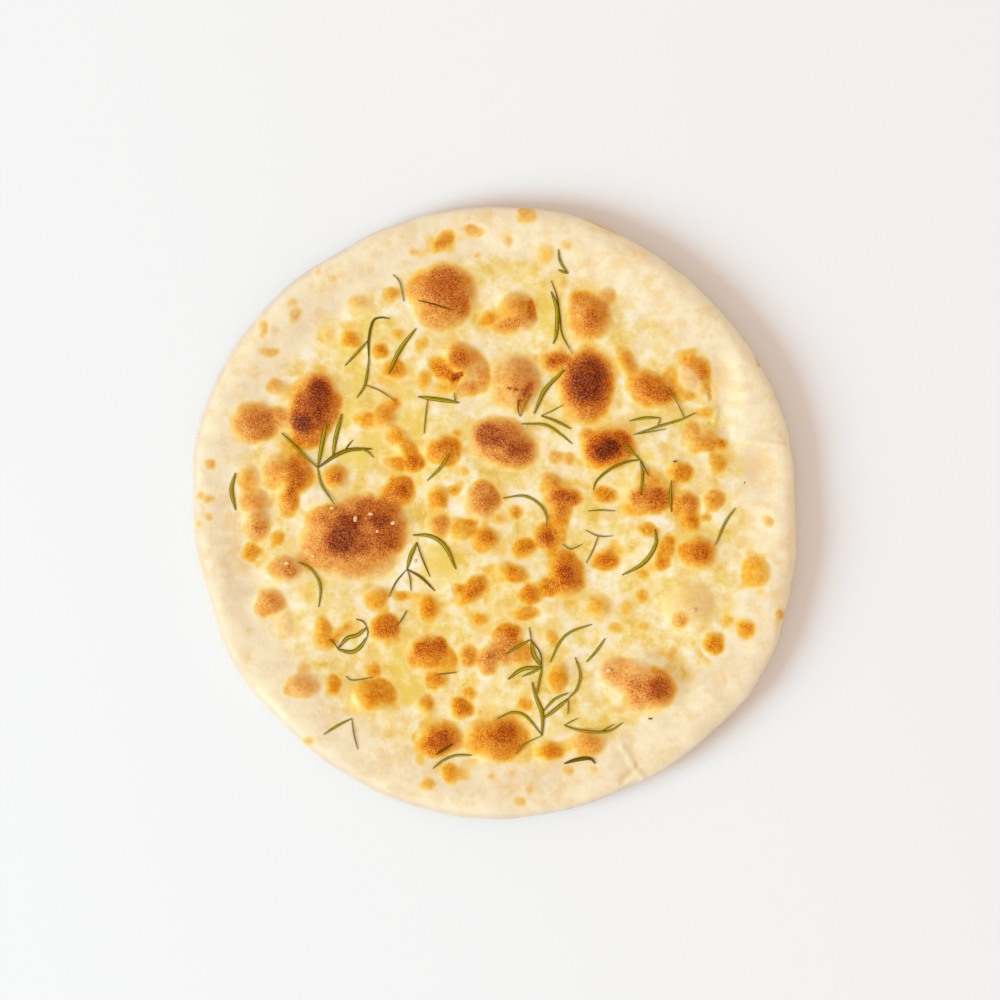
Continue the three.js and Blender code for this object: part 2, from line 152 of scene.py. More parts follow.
class Shader:
    """One procedural material and the nodes in it.

    A Mix node has sockets of one name for each kind of data, so those for colours go by their numbers.
    """

    MIX_SHARE = 0
    MIX_FIRST = 6
    MIX_SECOND = 7
    MIX_RESULT = 2

    def __init__(self, name: str) -> None:
        """Makes an empty material.

        Args:
            name: The material's name.
        """
        self.material = bpy.data.materials.new(name)
        self.material.use_nodes = True
        self.tree = self.material.node_tree
        self.tree.nodes.clear()

    def add(
        self, kind: str, settings: Mapping[str, Any], sockets: Mapping[str | int, Any]
    ) -> bpy.types.Node:
        """Makes any node: its settings first, then the values or links of its sockets.

        Args:
            kind: The node's type, without the words ShaderNode.
            settings: Its settings by name. A ramp's stops are under the name stops.
            sockets: A value or a Socket for each input, by name or number.

        Returns:
            The node.
        """
        made = self.tree.nodes.new("ShaderNode" + kind)
        for name, setting in settings.items():
            if name == "stops":
                self.set_stops(made.color_ramp, setting)
            else:
                setattr(made, name, setting)
        for key, value in sockets.items():
            if isinstance(value, Socket):
                self.tree.links.new(value.output, made.inputs[key])
            else:
                made.inputs[key].default_value = value
        return made

    def node(
        self,
        kind: str,
        settings: Mapping[str, Any],
        sockets: Mapping[str | int, Any],
        output: str | int = 0,
    ) -> Socket:
        """Makes a node as add does and gives one of its outputs, by name or number."""
        return Socket(self, self.add(kind, settings, sockets).outputs[output])

    @staticmethod
    def set_stops(ramp: bpy.types.ColorRamp, stops: Stops) -> None:
        """Gives a colour ramp its stops.

        Args:
            ramp: The ramp, with its two default stops.
            stops: Places from 0 to 1, in order, each with its colour.
        """
        while len(ramp.elements) < len(stops):
            ramp.elements.new(1.0)
        for element, (place, colour) in zip(ramp.elements, stops):
            element.position = place
            element.color = colour

    def maths(self, operation: str, first: Socket | float, second: Socket | float) -> Socket:
        """Makes a Math node of two values."""
        return self.node("Math", {"operation": operation}, {0: first, 1: second})

    def mix(self, share: Socket | float, first: Socket | Colour, second: Socket | Colour) -> Socket:
        """Mixes two colours, from the first at share 0 to the second at share 1."""
        sockets = {self.MIX_SHARE: share, self.MIX_FIRST: first, self.MIX_SECOND: second}
        return self.node("Mix", {"data_type": "RGBA"}, sockets, self.MIX_RESULT)

    def ramp(self, share: Socket, stops: Stops) -> Socket:
        """Reads a colour from a ramp."""
        return self.node("ValToRGB", {"stops": stops}, {"Fac": share}, "Color")

    def place(self) -> Socket:
        """Gives the point of the surface in the object's frame."""
        return self.node("TexCoord", {}, {}, "Object")

    def field(self, name: str) -> Socket:
        """Reads a value that the mesh holds at its vertices."""
        return self.node("Attribute", {"attribute_name": name}, {}, "Fac")

    def cloud(self, place: Socket, size: float, detail: float = 2.0) -> Socket:
        """Makes soft noise round 0.5 with lumps about one size across, in metres."""
        return self.node("TexNoise", {}, {"Vector": place, "Scale": 1.0 / size, "Detail": detail}, "Fac")

    def pits(self, place: Socket, size: float) -> Socket:
        """Makes round cells about one size across, in metres, with 0 in the middle of each."""
        return self.node("TexVoronoi", {}, {"Vector": place, "Scale": 1.0 / size}, "Distance")

    def bump(self, height: Socket, distance: float, strength: float = 1.0) -> Socket:
        """Turns heights from 0 to 1 into a normal, with 1 as high as the distance, in metres."""
        sockets = {"Height": height, "Distance": distance, "Strength": strength}
        return self.node("Bump", {}, sockets, "Normal")

    def surface(self, sockets: Mapping[str, Any]) -> bpy.types.Material:
        """Ends the material with a Principled surface.

        Args:
            sockets: Values or links for its inputs.

        Returns:
            The finished material.
        """
        self.add("OutputMaterial", {}, {"Surface": self.node("BsdfPrincipled", {}, sockets, "BSDF")})
        return self.material


class Field(Enum):
    """Values that the loaf's mesh holds at its vertices for its finish."""

    BAKE = "bake"
    OIL = "oil"
    DRY = "dry"
    RIM = "rim"
    # Which side of the flank faces away from the lamp, for its painted light and shade.
    SIDE = "side"
    UNDER = "under"


class Blade(Enum):
    """Values that a sprig's mesh holds at its vertices for its finish."""

    ACROSS = "across"
    ALONG = "along"
    TINT = "tint"


class Width(Enum):
    """Widths of the rosemary needles, in millimetres."""

    SLIM = 0.65
    MIDDLING = 1.25
    BROAD = 1.95


@dataclass(frozen=True)
class Oval:
    """A turned oval on the top of the loaf, in millimetres and degrees, with a strength."""

    x: float
    y: float
    half_width: float
    half_length: float
    strength: float
    turn: float = 0.0

    def distance(self, x: np.ndarray, y: np.ndarray) -> np.ndarray:
        """Gives the distance from the middle in shares of the half sizes: 1 is the edge."""
        cosine = math.cos(math.radians(self.turn))
        sine = math.sin(math.radians(self.turn))
        along_x = (x - self.x) * cosine + (y - self.y) * sine
        along_y = (y - self.y) * cosine - (x - self.x) * sine
        return np.hypot(along_x / self.half_width, along_y / self.half_length)

    def size(self) -> float:
        """Gives the mean half size."""
        return math.sqrt(self.half_width * self.half_length)


def ovals(*rows: tuple[float, ...]) -> tuple[Oval, ...]:
    """Makes an oval of each row: place, half width, half length, strength and, where it has one, turn."""
    return tuple(Oval(*row) for row in rows)


@dataclass(frozen=True)
class Blister(Oval):
    """A browned blister: its strength is how far it is baked, from 0 to 1.

    Its middle may stay pale, and its skin may be dry, which is pinker than an oily one, both from 0 to 1.
    """

    pale: float = 0.0
    dry: float = 0.0


@dataclass(frozen=True)
class Crease:
    """A ridge or a groove in the crust, in millimetres."""

    x_from: float
    y_from: float
    x_to: float
    y_to: float
    rise: float
    reach: float
    browning: float = 0.0

    def height(self, x: np.ndarray, y: np.ndarray) -> np.ndarray:
        """Gives the height that the crease adds at each point."""
        run_x = self.x_to - self.x_from
        run_y = self.y_to - self.y_from
        share = ((x - self.x_from) * run_x + (y - self.y_from) * run_y) / (run_x**2 + run_y**2)
        share = np.clip(share, 0.0, 1.0)
        aside = np.hypot(x - self.x_from - share * run_x, y - self.y_from - share * run_y)
        return self.rise * np.exp(-((aside / self.reach) ** 2))


BLISTERS: tuple[Blister, ...] = (
    Blister(-26, 108.5, 17, 16, 0.55, dry=0.65),
    Blister(-26, 134.5, 6, 3.5, 0.5, 40, dry=0.3),
    Blister(-11, 141, 4.5, 2, 0.42, dry=0.6),
    Blister(-39, 130.5, 2.2, 1.4, 0.34, dry=0.7),
    Blister(-8, 129, 1.6, 1.6, 0.24),
    Blister(-50.5, 108.5, 4, 4.4, 0.34, dry=0.4),
    Blister(-66, 104.5, 6, 4, 0.24, dry=0.5),
    Blister(-71, 86.5, 5.4, 4.6, 0.44),
    Blister(-57.3, 81.5, 4.2, 4.2, 0.46),
    Blister(-47.5, 88.8, 4, 2.6, 0.32),
    Blister(-36, 84, 3, 3.5, 0.3),
    Blister(16.5, 148, 5, 4, 0.3, dry=0.6),
    Blister(7, 135, 2.2, 2.6, 0.28),
    Blister(25.5, 129, 4.5, 5, 0.2),
    Blister(36.5, 133.5, 3, 2.2, 0.24),
    Blister(11, 102, 9.5, 8, 0.4, dry=0.4),
    Blister(-1, 97.5, 6.2, 3.4, 0.46, 20),
    Blister(6, 93, 6.8, 3.8, 0.48, dry=0.6),
    Blister(15, 97, 6, 6, 0.42, dry=0.6),
    Blister(47.5, 97, 10.5, 12, 0.54, dry=0.5),
    Blister(55.5, 108, 4.5, 5.5, 0.4, -25, dry=0.6),
    Blister(42, 105.5, 5, 5, 0.44, dry=0.3),
    Blister(34.5, 115, 3, 3, 0.2),
    Blister(-100.5, 105, 2.2, 2.2, 0.3, dry=1.0),
    Blister(-99.5, 98, 2, 4, 0.32, -30, dry=1.0),
    Blister(-115, 92, 1.9, 3.2, 0.32, dry=1.0),
    Blister(-112, 80.5, 4.2, 2, 0.3, dry=0.7),
    Blister(-88, 120, 2, 1.6, 0.2, dry=1.0),
    Blister(-81.5, 117, 2, 1.6, 0.22, dry=1.0),
    Blister(-83, 89, 3.5, 4.5, 0.2, dry=0.4),
    Blister(-141.5, 24.5, 2, 2.2, 0.36, dry=0.8),
    Blister(-147, 9, 2.2, 1.7, 0.28, dry=1.0),
    Blister(-142, 7, 2.2, 1.7, 0.34, dry=0.8),
    Blister(-142.5, -2, 2, 2, 0.28, dry=0.8),
    Blister(-148.5, -6, 1.7, 1.7, 0.26, dry=0.8),
    Blister(-119.5, 45, 11, 10, 0.62, dry=0.7),
    Blister(-90.5, 53, 12.5, 18.5, 0.62, -18, dry=0.5),
    Blister(-106, 47.5, 6.5, 5.5, 0.46, dry=0.6),
    Blister(-109, 63, 4, 3.4, 0.36, dry=0.5),
    Blister(-122, 17.5, 5.5, 6.5, 0.34, dry=0.5),
    Blister(-124, 11, 3.5, 6, 0.3, dry=0.5),
    Blister(-119.5, 6, 7.5, 7, 0.42, dry=0.6),
    Blister(-118.5, -5, 6.5, 8, 0.46, dry=0.8),
    Blister(-109, 21, 7, 8.5, 0.44, dry=0.5),
    Blister(-99.5, 20.5, 8.5, 10, 0.52, dry=0.2),
    Blister(-102.5, 9, 4.8, 9.5, 0.55, dry=0.4),
    Blister(-79, 18, 6, 6.4, 0.45, dry=0.3),
    Blister(-17, 78.5, 8.5, 7.5, 0.45, dry=0.4),
    Blister(-25.5, 71.5, 4.4, 7, 0.65, 38),
    Blister(-7, 70, 4.6, 8, 0.43, 15, dry=0.6),
    Blister(-11, 63.5, 8, 4, 0.46, 18, dry=0.7),
    Blister(-21, 62, 8.5, 3, 0.36),
    Blister(-34.5, 66, 3.2, 4.4, 0.36),
    Blister(-15, 70, 9, 9, 0.2),
    Blister(-49.5, 71.5, 5.6, 4.8, 0.52),
    Blister(-64, 47, 5.5, 3.8, 0.43),
    Blister(-55, 48, 6.5, 6.5, 0.38, dry=0.3),
    Blister(-50, 53.5, 4, 4, 0.4),
    Blister(-47.5, 38, 7, 4.6, 0.42, -45),
    Blister(-43, 31, 7, 4.2, 0.46, -60),
    Blister(-40, 25.5, 4.8, 4.8, 0.6),
    Blister(-46.5, 25, 7, 3.4, 0.5),
    Blister(-25.5, 31.5, 8.8, 7.2, 0.54, dry=0.2),
    Blister(-18.5, 39.5, 2, 2, 0.35),
    Blister(-15, 21, 2, 2, 0.3),
    Blister(-28, 8, 5, 6.2, 0.49),
    Blister(-20, 12, 3, 3, 0.42),
    Blister(-47, 11, 7, 7.4, 0.6, dry=0.2),
    Blister(-5.5, 6, 7.8, 9.6, 0.58, dry=0.7),
    Blister(10.5, 65.5, 12.8, 13.6, 0.42, dry=0.75),
    Blister(15.6, 60.2, 3, 9, 0.66, -30, dry=0.4),
    Blister(30, 75.5, 8, 5.2, 0.56, dry=0.3),
    Blister(45.5, 64, 14, 18.5, 0.64, -8, dry=0.5),
    Blister(56, 32, 13, 11, 0.56, dry=0.2),
    Blister(60, 41, 11, 5, 0.26, 10, dry=0.3),
    Blister(46, 39, 4.5, 4.2, 0.44, dry=0.3),
    Blister(4.5, 35, 16.5, 11.5, 0.64, -20, dry=0.9),
    Blister(31.5, 28, 3, 2.8, 0.36, dry=0.5),
    Blister(37, 27.5, 3.2, 2.8, 0.36, dry=0.5),
    Blister(29, 14.5, 5.8, 5.6, 0.4, dry=0.3),
    Blister(34, 8, 8.8, 5.2, 0.68, dry=0.3),
    Blister(33, 1.5, 5.6, 6.8, 0.51, dry=0.3),
    Blister(32.5, -7, 4.6, 9, 0.42),
    Blister(56, 9, 5.6, 3.2, 0.56),
    Blister(10, 0.5, 3.5, 3.3, 0.43, dry=0.3),
    Blister(79, 61.8, 13, 8.6, 0.54, -24, dry=0.3),
    Blister(66.5, 74.5, 4, 8, 0.42, 25, dry=0.3),
    Blister(87.5, 68.5, 4, 4.5, 0.32),
    Blister(91.5, 61, 3.6, 6, 0.34, 30),
    Blister(104.5, 69.5, 3.6, 8, 0.36, 4),
    Blister(99, 75.5, 6.4, 3.2, 0.46, -12, dry=0.3),
    Blister(95.5, 79.5, 5.5, 2.2, 0.27, 12),
    Blister(97, 68, 6.4, 7, 0.27, dry=0.9),
    Blister(105.3, 63, 2.8, 3.4, 0.3),
    Blister(96, 58.8, 4, 2.6, 0.38),
    Blister(105.5, 50, 4.6, 3.4, 0.34),
    Blister(99, 38.5, 4.2, 7.4, 0.38, 12, dry=0.4),
    Blister(104, 33.8, 6.8, 3.8, 0.46, dry=0.2),
    Blister(107, 37.8, 5.2, 4.2, 0.26, dry=0.3),
    Blister(112.5, 34.5, 4.4, 3, 0.36),
    Blister(111.5, 24.5, 4.2, 5.2, 0.38),
    Blister(91.8, 20.5, 6.4, 5.4, 0.51),
    Blister(77, 7.5, 11.5, 6.6, 0.63, 5, dry=0.4),
    Blister(79, 16.5, 7.5, 6.5, 0.36, dry=0.35),
    Blister(86.5, 10, 4.4, 7, 0.28),
    Blister(73, 2.5, 11, 3.2, 0.4),
    Blister(95, 5, 7.4, 6, 0.53, dry=0.3),
    Blister(109, 6, 5, 5, 0.4, dry=0.4),
    Blister(98, -3.5, 4.8, 5.8, 0.47),
    Blister(105.5, -1.5, 2.6, 2.6, 0.38),
    Blister(-77, -13.5, 19.5, 16, 0.53, 8, dry=0.8),
    Blister(-86, -20, 11, 9.5, 0.37, dry=0.8),
    Blister(-58, -8, 15.5, 16, 0.6, 10, dry=0.6),
    Blister(-82, -3, 12, 7, 0.59, 15, dry=0.7),
    Blister(-67, 2.5, 10, 7.5, 0.52, 20, dry=0.6),
    Blister(-54, 4, 9, 7, 0.54, 30, dry=0.4),
    Blister(-66, -26, 17, 7.4, 0.49, 5, dry=0.7),
    Blister(-108, -12.5, 3.4, 3.4, 0.42),
    Blister(-121.5, -19.8, 4.3, 4.5, 0.46),
    Blister(-104, -28, 8, 6.4, 0.48, dry=0.7),
    Blister(-94.5, -25, 6, 3.8, 0.48, dry=0.7),
    Blister(-112, -44.5, 7.8, 7, 0.5, dry=0.8),
    Blister(-104, -55, 4, 8, 0.22, dry=0.8),
    Blister(-59, -42.3, 5.6, 5.6, 0.36, pale=0.15),
    Blister(-55.3, -57.5, 7.6, 7.6, 0.6, dry=0.2),
    Blister(-86, -58.5, 3.8, 6.4, 0.4, dry=0.2),
    Blister(-83.5, -64, 4.4, 3.4, 0.4),
    Blister(-76.5, -59.5, 7, 2.6, 0.4, 35),
    Blister(-28, -6, 5.6, 5.4, 0.43, dry=0.5),
    Blister(-16.5, -8.3, 7, 5.4, 0.38, pale=0.15),
    Blister(-12, -5.3, 3.2, 2.6, 0.46),
    Blister(-4.4, -13, 7, 6.2, 0.42, dry=0.1),
    Blister(15, -17.8, 6, 4.6, 0.52, 18),
    Blister(26, -12.5, 6.8, 6.4, 0.6, dry=0.3),
    Blister(30.5, -18.5, 4.6, 4, 0.38),
    Blister(8.5, -29.3, 8, 4.2, 0.5, -16),
    Blister(36, -31, 9.2, 11.4, 0.62, dry=0.2),
    Blister(27, -37, 6.4, 4.4, 0.58, 10),
    Blister(-39, -41, 10, 1.8, 0.28),
    Blister(2.5, -3.5, 3.5, 2.2, 0.26),
    Blister(-95, 36.5, 7.5, 4.5, 0.6, dry=0.1),
    Blister(17.8, -40.3, 5.4, 4.2, 0.6),
    Blister(55.5, -23, 6.7, 5, 0.57),
    Blister(-10.5, -39, 9.4, 4.8, 0.6, 45),
    Blister(-17, -37.5, 3, 2.2, 0.56),
    Blister(-32.5, -48, 5.2, 6.7, 0.48),
    Blister(-46, -41.5, 3.2, 2.6, 0.42),
    Blister(-6.7, -52.7, 3.3, 3.3, 0.42),
    Blister(15, -49.5, 5.8, 3.2, 0.45),
    Blister(52.5, -46.5, 6, 6, 0.31),
    Blister(67, -48, 4, 4, 0.25),
    Blister(61, -57.5, 3.5, 2.5, 0.3),
    Blister(74.5, -56.5, 3, 3, 0.24),
    Blister(73.5, -41.5, 3.5, 3, 0.34),
    Blister(76, -9, 4.2, 3.4, 0.45),
    Blister(74, -31, 3.5, 3, 0.32),
    Blister(85, -18, 4.5, 7, 0.44, -20),
    Blister(83.5, -24.5, 4, 4.4, 0.44),
    Blister(102, -20, 9.4, 8.2, 0.54, dry=0.2),
    Blister(130.5, -29, 6.7, 8.2, 0.41, pale=0.3),
    Blister(92.6, -52.5, 4, 3.8, 0.46, dry=0.6),
    Blister(97, -45, 13, 12, 0.18, dry=0.5),
    Blister(116.5, -53.3, 3.4, 3.6, 0.28),
    Blister(125.3, -56.7, 4.5, 4.9, 0.46),
    Blister(109.5, -64.7, 5.2, 5.2, 0.55),
    Blister(-95, -86, 7.8, 6.4, 0.4, dry=0.8),
    Blister(-95.5, -78, 4, 4, 0.22, dry=0.5),
    Blister(-80.5, -86, 4, 5.2, 0.46),
    Blister(-60, -91, 10.4, 8.4, 0.45),
    Blister(-60.8, -79, 4.2, 4.4, 0.37),
    Blister(-33, -69, 10.2, 8.6, 0.54, dry=0.2),
    Blister(-24.5, -74, 6.2, 6.4, 0.36),
    Blister(-28.5, -83.3, 5.8, 4.8, 0.47, dry=0.2),
    Blister(-12.5, -71, 4, 4.7, 0.52, dry=0.2),
    Blister(7.3, -61.3, 7.2, 6.8, 0.55, dry=0.2),
    Blister(4, -68.5, 8.4, 7.8, 0.49, dry=0.6),
    Blister(-2.5, -73, 5, 6.2, 0.58, dry=0.8),
    Blister(13, -70.5, 6, 6, 0.41, dry=0.2),
    Blister(-34.7, -95.5, 5, 4.8, 0.36),
    Blister(-16.7, -98, 5.4, 5, 0.56),
    Blister(-11.5, -90, 3, 2.8, 0.42),
    Blister(-27.5, -113, 11.5, 8.7, 0.6, 15, dry=0.2),
    Blister(1, -112, 15.8, 11.5, 0.55, 4, dry=0.2),
    Blister(26.5, -118.5, 7.7, 5.2, 0.49),
    Blister(48, -114, 9, 6.5, 0.44, dry=0.5),
    Blister(32, -81, 5.2, 7.7, 0.44),
    Blister(-21.7, -130, 5, 4.3, 0.41),
    Blister(-33.3, -135.3, 3.3, 2.8, 0.32, dry=0.4),
    Blister(16, -95.5, 3.2, 3.2, 0.42),
    Blister(28.5, -62, 3.5, 5, 0.32),
    Blister(80, -88, 9.8, 10.4, 0.51, dry=0.6),
    Blister(70.5, -85.5, 10, 7.6, 0.6, -15, dry=0.8),
    Blister(60.5, -80, 8.4, 8.2, 0.43, dry=1.0),
    Blister(72.5, -94, 7.6, 4.6, 0.52, dry=0.9),
    Blister(89, -71, 2.7, 3.7, 0.28, dry=0.4),
    Blister(61, -98, 4, 1.8, 0.24, dry=0.8),
    Blister(-1.5, -131, 2, 2, 0.24),
    Blister(9, -129.5, 2, 2, 0.18),
    Blister(37, -129, 2.2, 2.2, 0.3),
    Blister(50, -128, 2.2, 2.2, 0.2),
    Blister(17.5, -137.5, 2, 1.8, 0.25),
    Blister(13, -143.5, 2.2, 2, 0.34, dry=0.6),
    Blister(137, -4, 2.2, 2.2, 0.36),
    Blister(142, -50.5, 2.2, 2.2, 0.3),
    Blister(-93, -114, 2, 2, 0.3, dry=1.0),
    Blister(70, -77, 8, 4.6, 0.36, -10, dry=1.0),
)

SCORCHES = ovals(
    (-26, 113.5, 12, 11, 0.7), (-17.5, 105.5, 6.5, 9, 0.66, 15), (49, 95.5, 5, 7, 0.65),
    (-87, 60.5, 8, 10, 0.9), (-95.5, 45.5, 8.5, 9, 0.94), (-91, 53, 11, 16, 0.82, -18),
    (46.5, 66, 14, 17.5, 0.95), (56, 31.5, 10.5, 6.4, 1.0, 12), (55, 32, 12, 9, 0.84),
    (63, 37, 6.5, 5.5, 0.68), (-2, 38.5, 10, 8, 0.82, -20), (12, 31.5, 9, 7.5, 0.78, -20),
    (-76, -13, 12.5, 12, 0.93), (-73, -5, 10, 7, 0.88, 15), (-57, -3.5, 8, 5.5, 0.88, -10),
    (-54, -12, 9, 10, 0.75), (-62, 3, 10, 5.5, 0.7), (-67, -15, 9, 8, 0.8), (35.8, -31, 6, 7, 0.79),
    (26, -12, 4, 4, 0.78), (81, -87, 7.4, 7.4, 0.76), (5.5, -110, 7.5, 7, 0.72),
    (-28, -113, 7.5, 5.5, 0.76, 20), (-79, 17.5, 3.8, 3.8, 0.6), (-47, 11, 4, 4.4, 0.74),
    (-99, 18, 5.5, 6.5, 0.62), (-101.5, 11, 3.4, 4.6, 0.66), (-117, -7, 4.4, 3.6, 0.57),
    (103, -19.5, 5.5, 5.5, 0.66), (34, 8, 5.5, 4, 0.75), (-36, -68, 5.5, 5.5, 0.68),
    (-27.5, -65.5, 4.4, 5, 0.62), (9, -60, 4.6, 4.2, 0.68), (72, 7, 5.6, 4, 0.62),
    (81, 8.5, 5, 5, 0.66), (75, 63.5, 7.5, 5.5, 0.62, -20), (84, 59, 6.5, 5.5, 0.62, -20),
    (-17.5, 76.5, 6, 5, 0.64), (-21.5, 69, 3, 4, 0.62, 40), (31, 75.5, 5, 3.4, 0.68),
    (15.2, 59.8, 2.8, 8.5, 0.7, -28), (18.5, 101.5, 3.2, 6.6, 0.63, 8), (10, 95, 8.6, 3.2, 0.54, 8),
    (-102, -28.5, 4.6, 4.2, 0.6), (-3, -12, 4.2, 4.6, 0.58), (104, 71, 3.4, 6, 0.52),
    (114, 34.6, 2, 2.4, 0.48), (-55.5, -57, 4.6, 4.6, 0.62),
)

BULGES = ovals(
    (79, -84, 19.5, 17, 1.8, -15), (98, -44, 18, 17, 0.3),
)

# Oily patches, where the dough is yellower. The first two, at (115, 67) and (132, 23), are painted shade
# instead: they colour a dent and the strip under the fold on the right rim darker and yellower, where shade
# falls.
OILY_AND_SHADED = ovals(
    (115, 67, 4, 8, 0.8), (132, 23, 11, 10, 0.8), (-72, -50, 5, 7, 1.0), (-87, -39, 6, 8, 0.9),
    (-86, -53, 5, 9, 0.8), (-46, -72, 6, 12, 1.0), (-40, -89, 9, 8, 0.95), (-35, -97, 7, 5, 0.9),
    (-60, -78, 7, 5, 0.65), (-46, -60, 7, 6, 0.75), (-20, -55, 10, 7, 0.75), (-30, -26, 10, 9, 0.8),
    (-20, -29, 7, 9, 0.6), (95, 47, 10, 5, 1.05), (77, 48, 13, 5, 0.95), (110, 42, 6, 10, 0.45),
    (-45, 58, 9, 7, 0.85), (-40, 45, 7, 9, 0.8), (-63, 37, 13, 7, 0.75), (-72, 51, 7, 9, 0.75),
    (-85, 31, 6, 8, 0.65), (-75, 79, 10, 10, 0.75), (-60, 92, 9, 9, 0.6), (-48, 87, 6, 6, 0.6),
    (-85, 92, 6, 7, 0.5), (-66, 104, 9, 6, 0.55), (32, 116, 5, 9, 0.75), (26, 101, 6, 11, 0.8),
    (34, 94, 5, 11, 0.65), (26, 130, 7, 6, 0.6), (8, 133, 8, 6, 0.45), (10, 122, 15, 6, 0.5),
    (30, -58, 5, 6, 0.8), (30, -69, 5, 10, 0.75), (28, -82, 5, 7, 0.65), (45, -61, 6, 6, 0.6),
    (52, -44, 9, 8, 0.6), (68, -50, 9, 8, 0.55), (-8, -88, 8, 6, 0.35), (-15, -92, 5, 6, 0.6),
    (36, -104, 9, 8, 0.65), (42, -121, 16, 7, 0.65), (20, -126, 9, 6, 0.55), (12, -139, 8, 7, 0.5),
    (62, -112, 6, 9, 0.5), (-60, -105, 10, 7, 0.45), (-44, -120, 10, 5, 0.55),
    (-75, -95, 8, 6, 0.55), (105, -32, 14, 9, 0.45), (114, -51, 9, 9, 0.5), (127, -12, 6, 15, 0.4),
    (46, 4, 13, 5, 0.6), (18, -5, 8, 8, 0.4), (60, -8, 9, 6, 0.5), (107, 84, 6, 7, 0.5),
    (100, 60, 6, 6, 0.55), (-106, 38, 8, 5, 0.6), (-128, 8, 4, 10, 0.5), (-42, 2, 6, 8, 0.45),
    (62, 92, 6, 14, 0.35), (75, -62, 9, 7, 0.15), (70, 20, 12, 14, 1.15), (99, -11, 16, 8, 1.0),
    (50, -111, 10, 9, 1.1), (-52, 49, 11, 10, 1.35), (-71, 66, 9, 8, 0.7), (-70, 27, 9, 8, 0.95),
    (24, -130, 20, 8, 0.9), (60, 128, 14, 7, 0.6), (-131, -10, 6, 9, 0.95), (130, -50, 6, 8, 0.9),
    (-12, 112, 7, 9, 0.85), (30, 88, 8, 8, 0.9), (-71, 8, 8, 8, 0.8), (-33, 24, 10, 9, 0.75),
    (-31, -49, 10, 10, 0.95), (51, 51, 10, 8, 0.6), (48, 129, 12, 8, 0.75),
)

# Spots where the dough is bare of oil and paler. Those at (113, 48) and (-39.5, -24) are also painted
# highlights: white glints on the crust, painted as pale dough.
BARE_AND_GLINTS = ovals(
    (113, 48, 5, 5, 1.0), (85, -6, 11, 4.5, 1.0), (-39.5, -24, 4, 4, 0.8),
    (-109, 63, 8.5, 8.5, 0.9), (-121.5, -19.5, 6, 6, 0.8), (-79, 18, 9.5, 9.5, 0.7),
    (-131, 51, 8, 11, 0.8), (-8, 66, 9, 9, 0.6), (10, 51, 9, 7, 0.8), (-93, -9, 6, 8, 1.1),
    (-70, -31, 8, 6, 1.0), (50, 88, 8, 9, 0.95), (69, -69, 8, 6, 0.5), (-10, -71, 8, 9, 0.6),
    (-101, 102, 13, 15, 0.75), (-98, -101, 15, 13, 0.7), (31, -10, 8, 8, 0.7),
    (-110, 1, 7, 14, 0.5), (-30, 130, 10, 7, 0.7), (11, 109, 8, 6, 0.6), (-90, 73, 8, 8, 0.6),
    (-9, 53, 9, 7, 0.6), (101, 29, 16, 7, 0.6), (11, -30, 9, 8, 0.6), (-128, -50, 8, 10, 0.7),
    (-13, -110, 8, 8, 0.6),
)

TEARS = ovals(
    (-18.7, 67.7, 2.9, 2.9, -1.2, -20), (-20.4, 65.8, 1.2, 1.3, -0.6),
    (-15.6, 68.8, 0.8, 1.7, -0.7, 10), (10.9, 61.4, 2.1, 0.9, -0.9, 4),
    (6.6, 62.4, 2.2, 0.5, -0.3, -16),
)

# A crease with a browning colours its line as browned crust. The lines along the outline at (128, 84) and
# (45, 147), on the side away from the lamp, are partly browned crust and partly painted shade where the edge
# turns from the light.
CREASES: tuple[Crease, ...] = (
    Crease(19.5, 64, 12.5, 57.5, -0.5, 1.3),
    Crease(107.2, 62.5, 108.2, 57, -0.8, 0.9, 0.55),
    Crease(128, 84, 132.3, 73.3, -0.6, 0.75, 0.3),
    Crease(45, 147, 68, 137.3, -0.3, 0.75, 0.28),
    Crease(111, 51, 110.2, 45.2, 0.5, 0.9),
    Crease(120.5, 47, 120.5, 38.5, 0.4, 1.6),
    Crease(125.5, 36.5, 149, 33, 0.45, 1.4),
    Crease(64, -116, 69.5, -126, 0.5, 1.3),
    Crease(69.5, -126, 75.5, -134, 0.5, 1.3),
    Crease(71, -127, 64.5, -133.5, -0.6, 1.6),
    Crease(123, 72, 124, 40, 0.15, 2.2),
)

Needle = tuple[Width, tuple[tuple[float, float], ...]]

SLIM, MIDDLING, BROAD = Width.SLIM, Width.MIDDLING, Width.BROAD

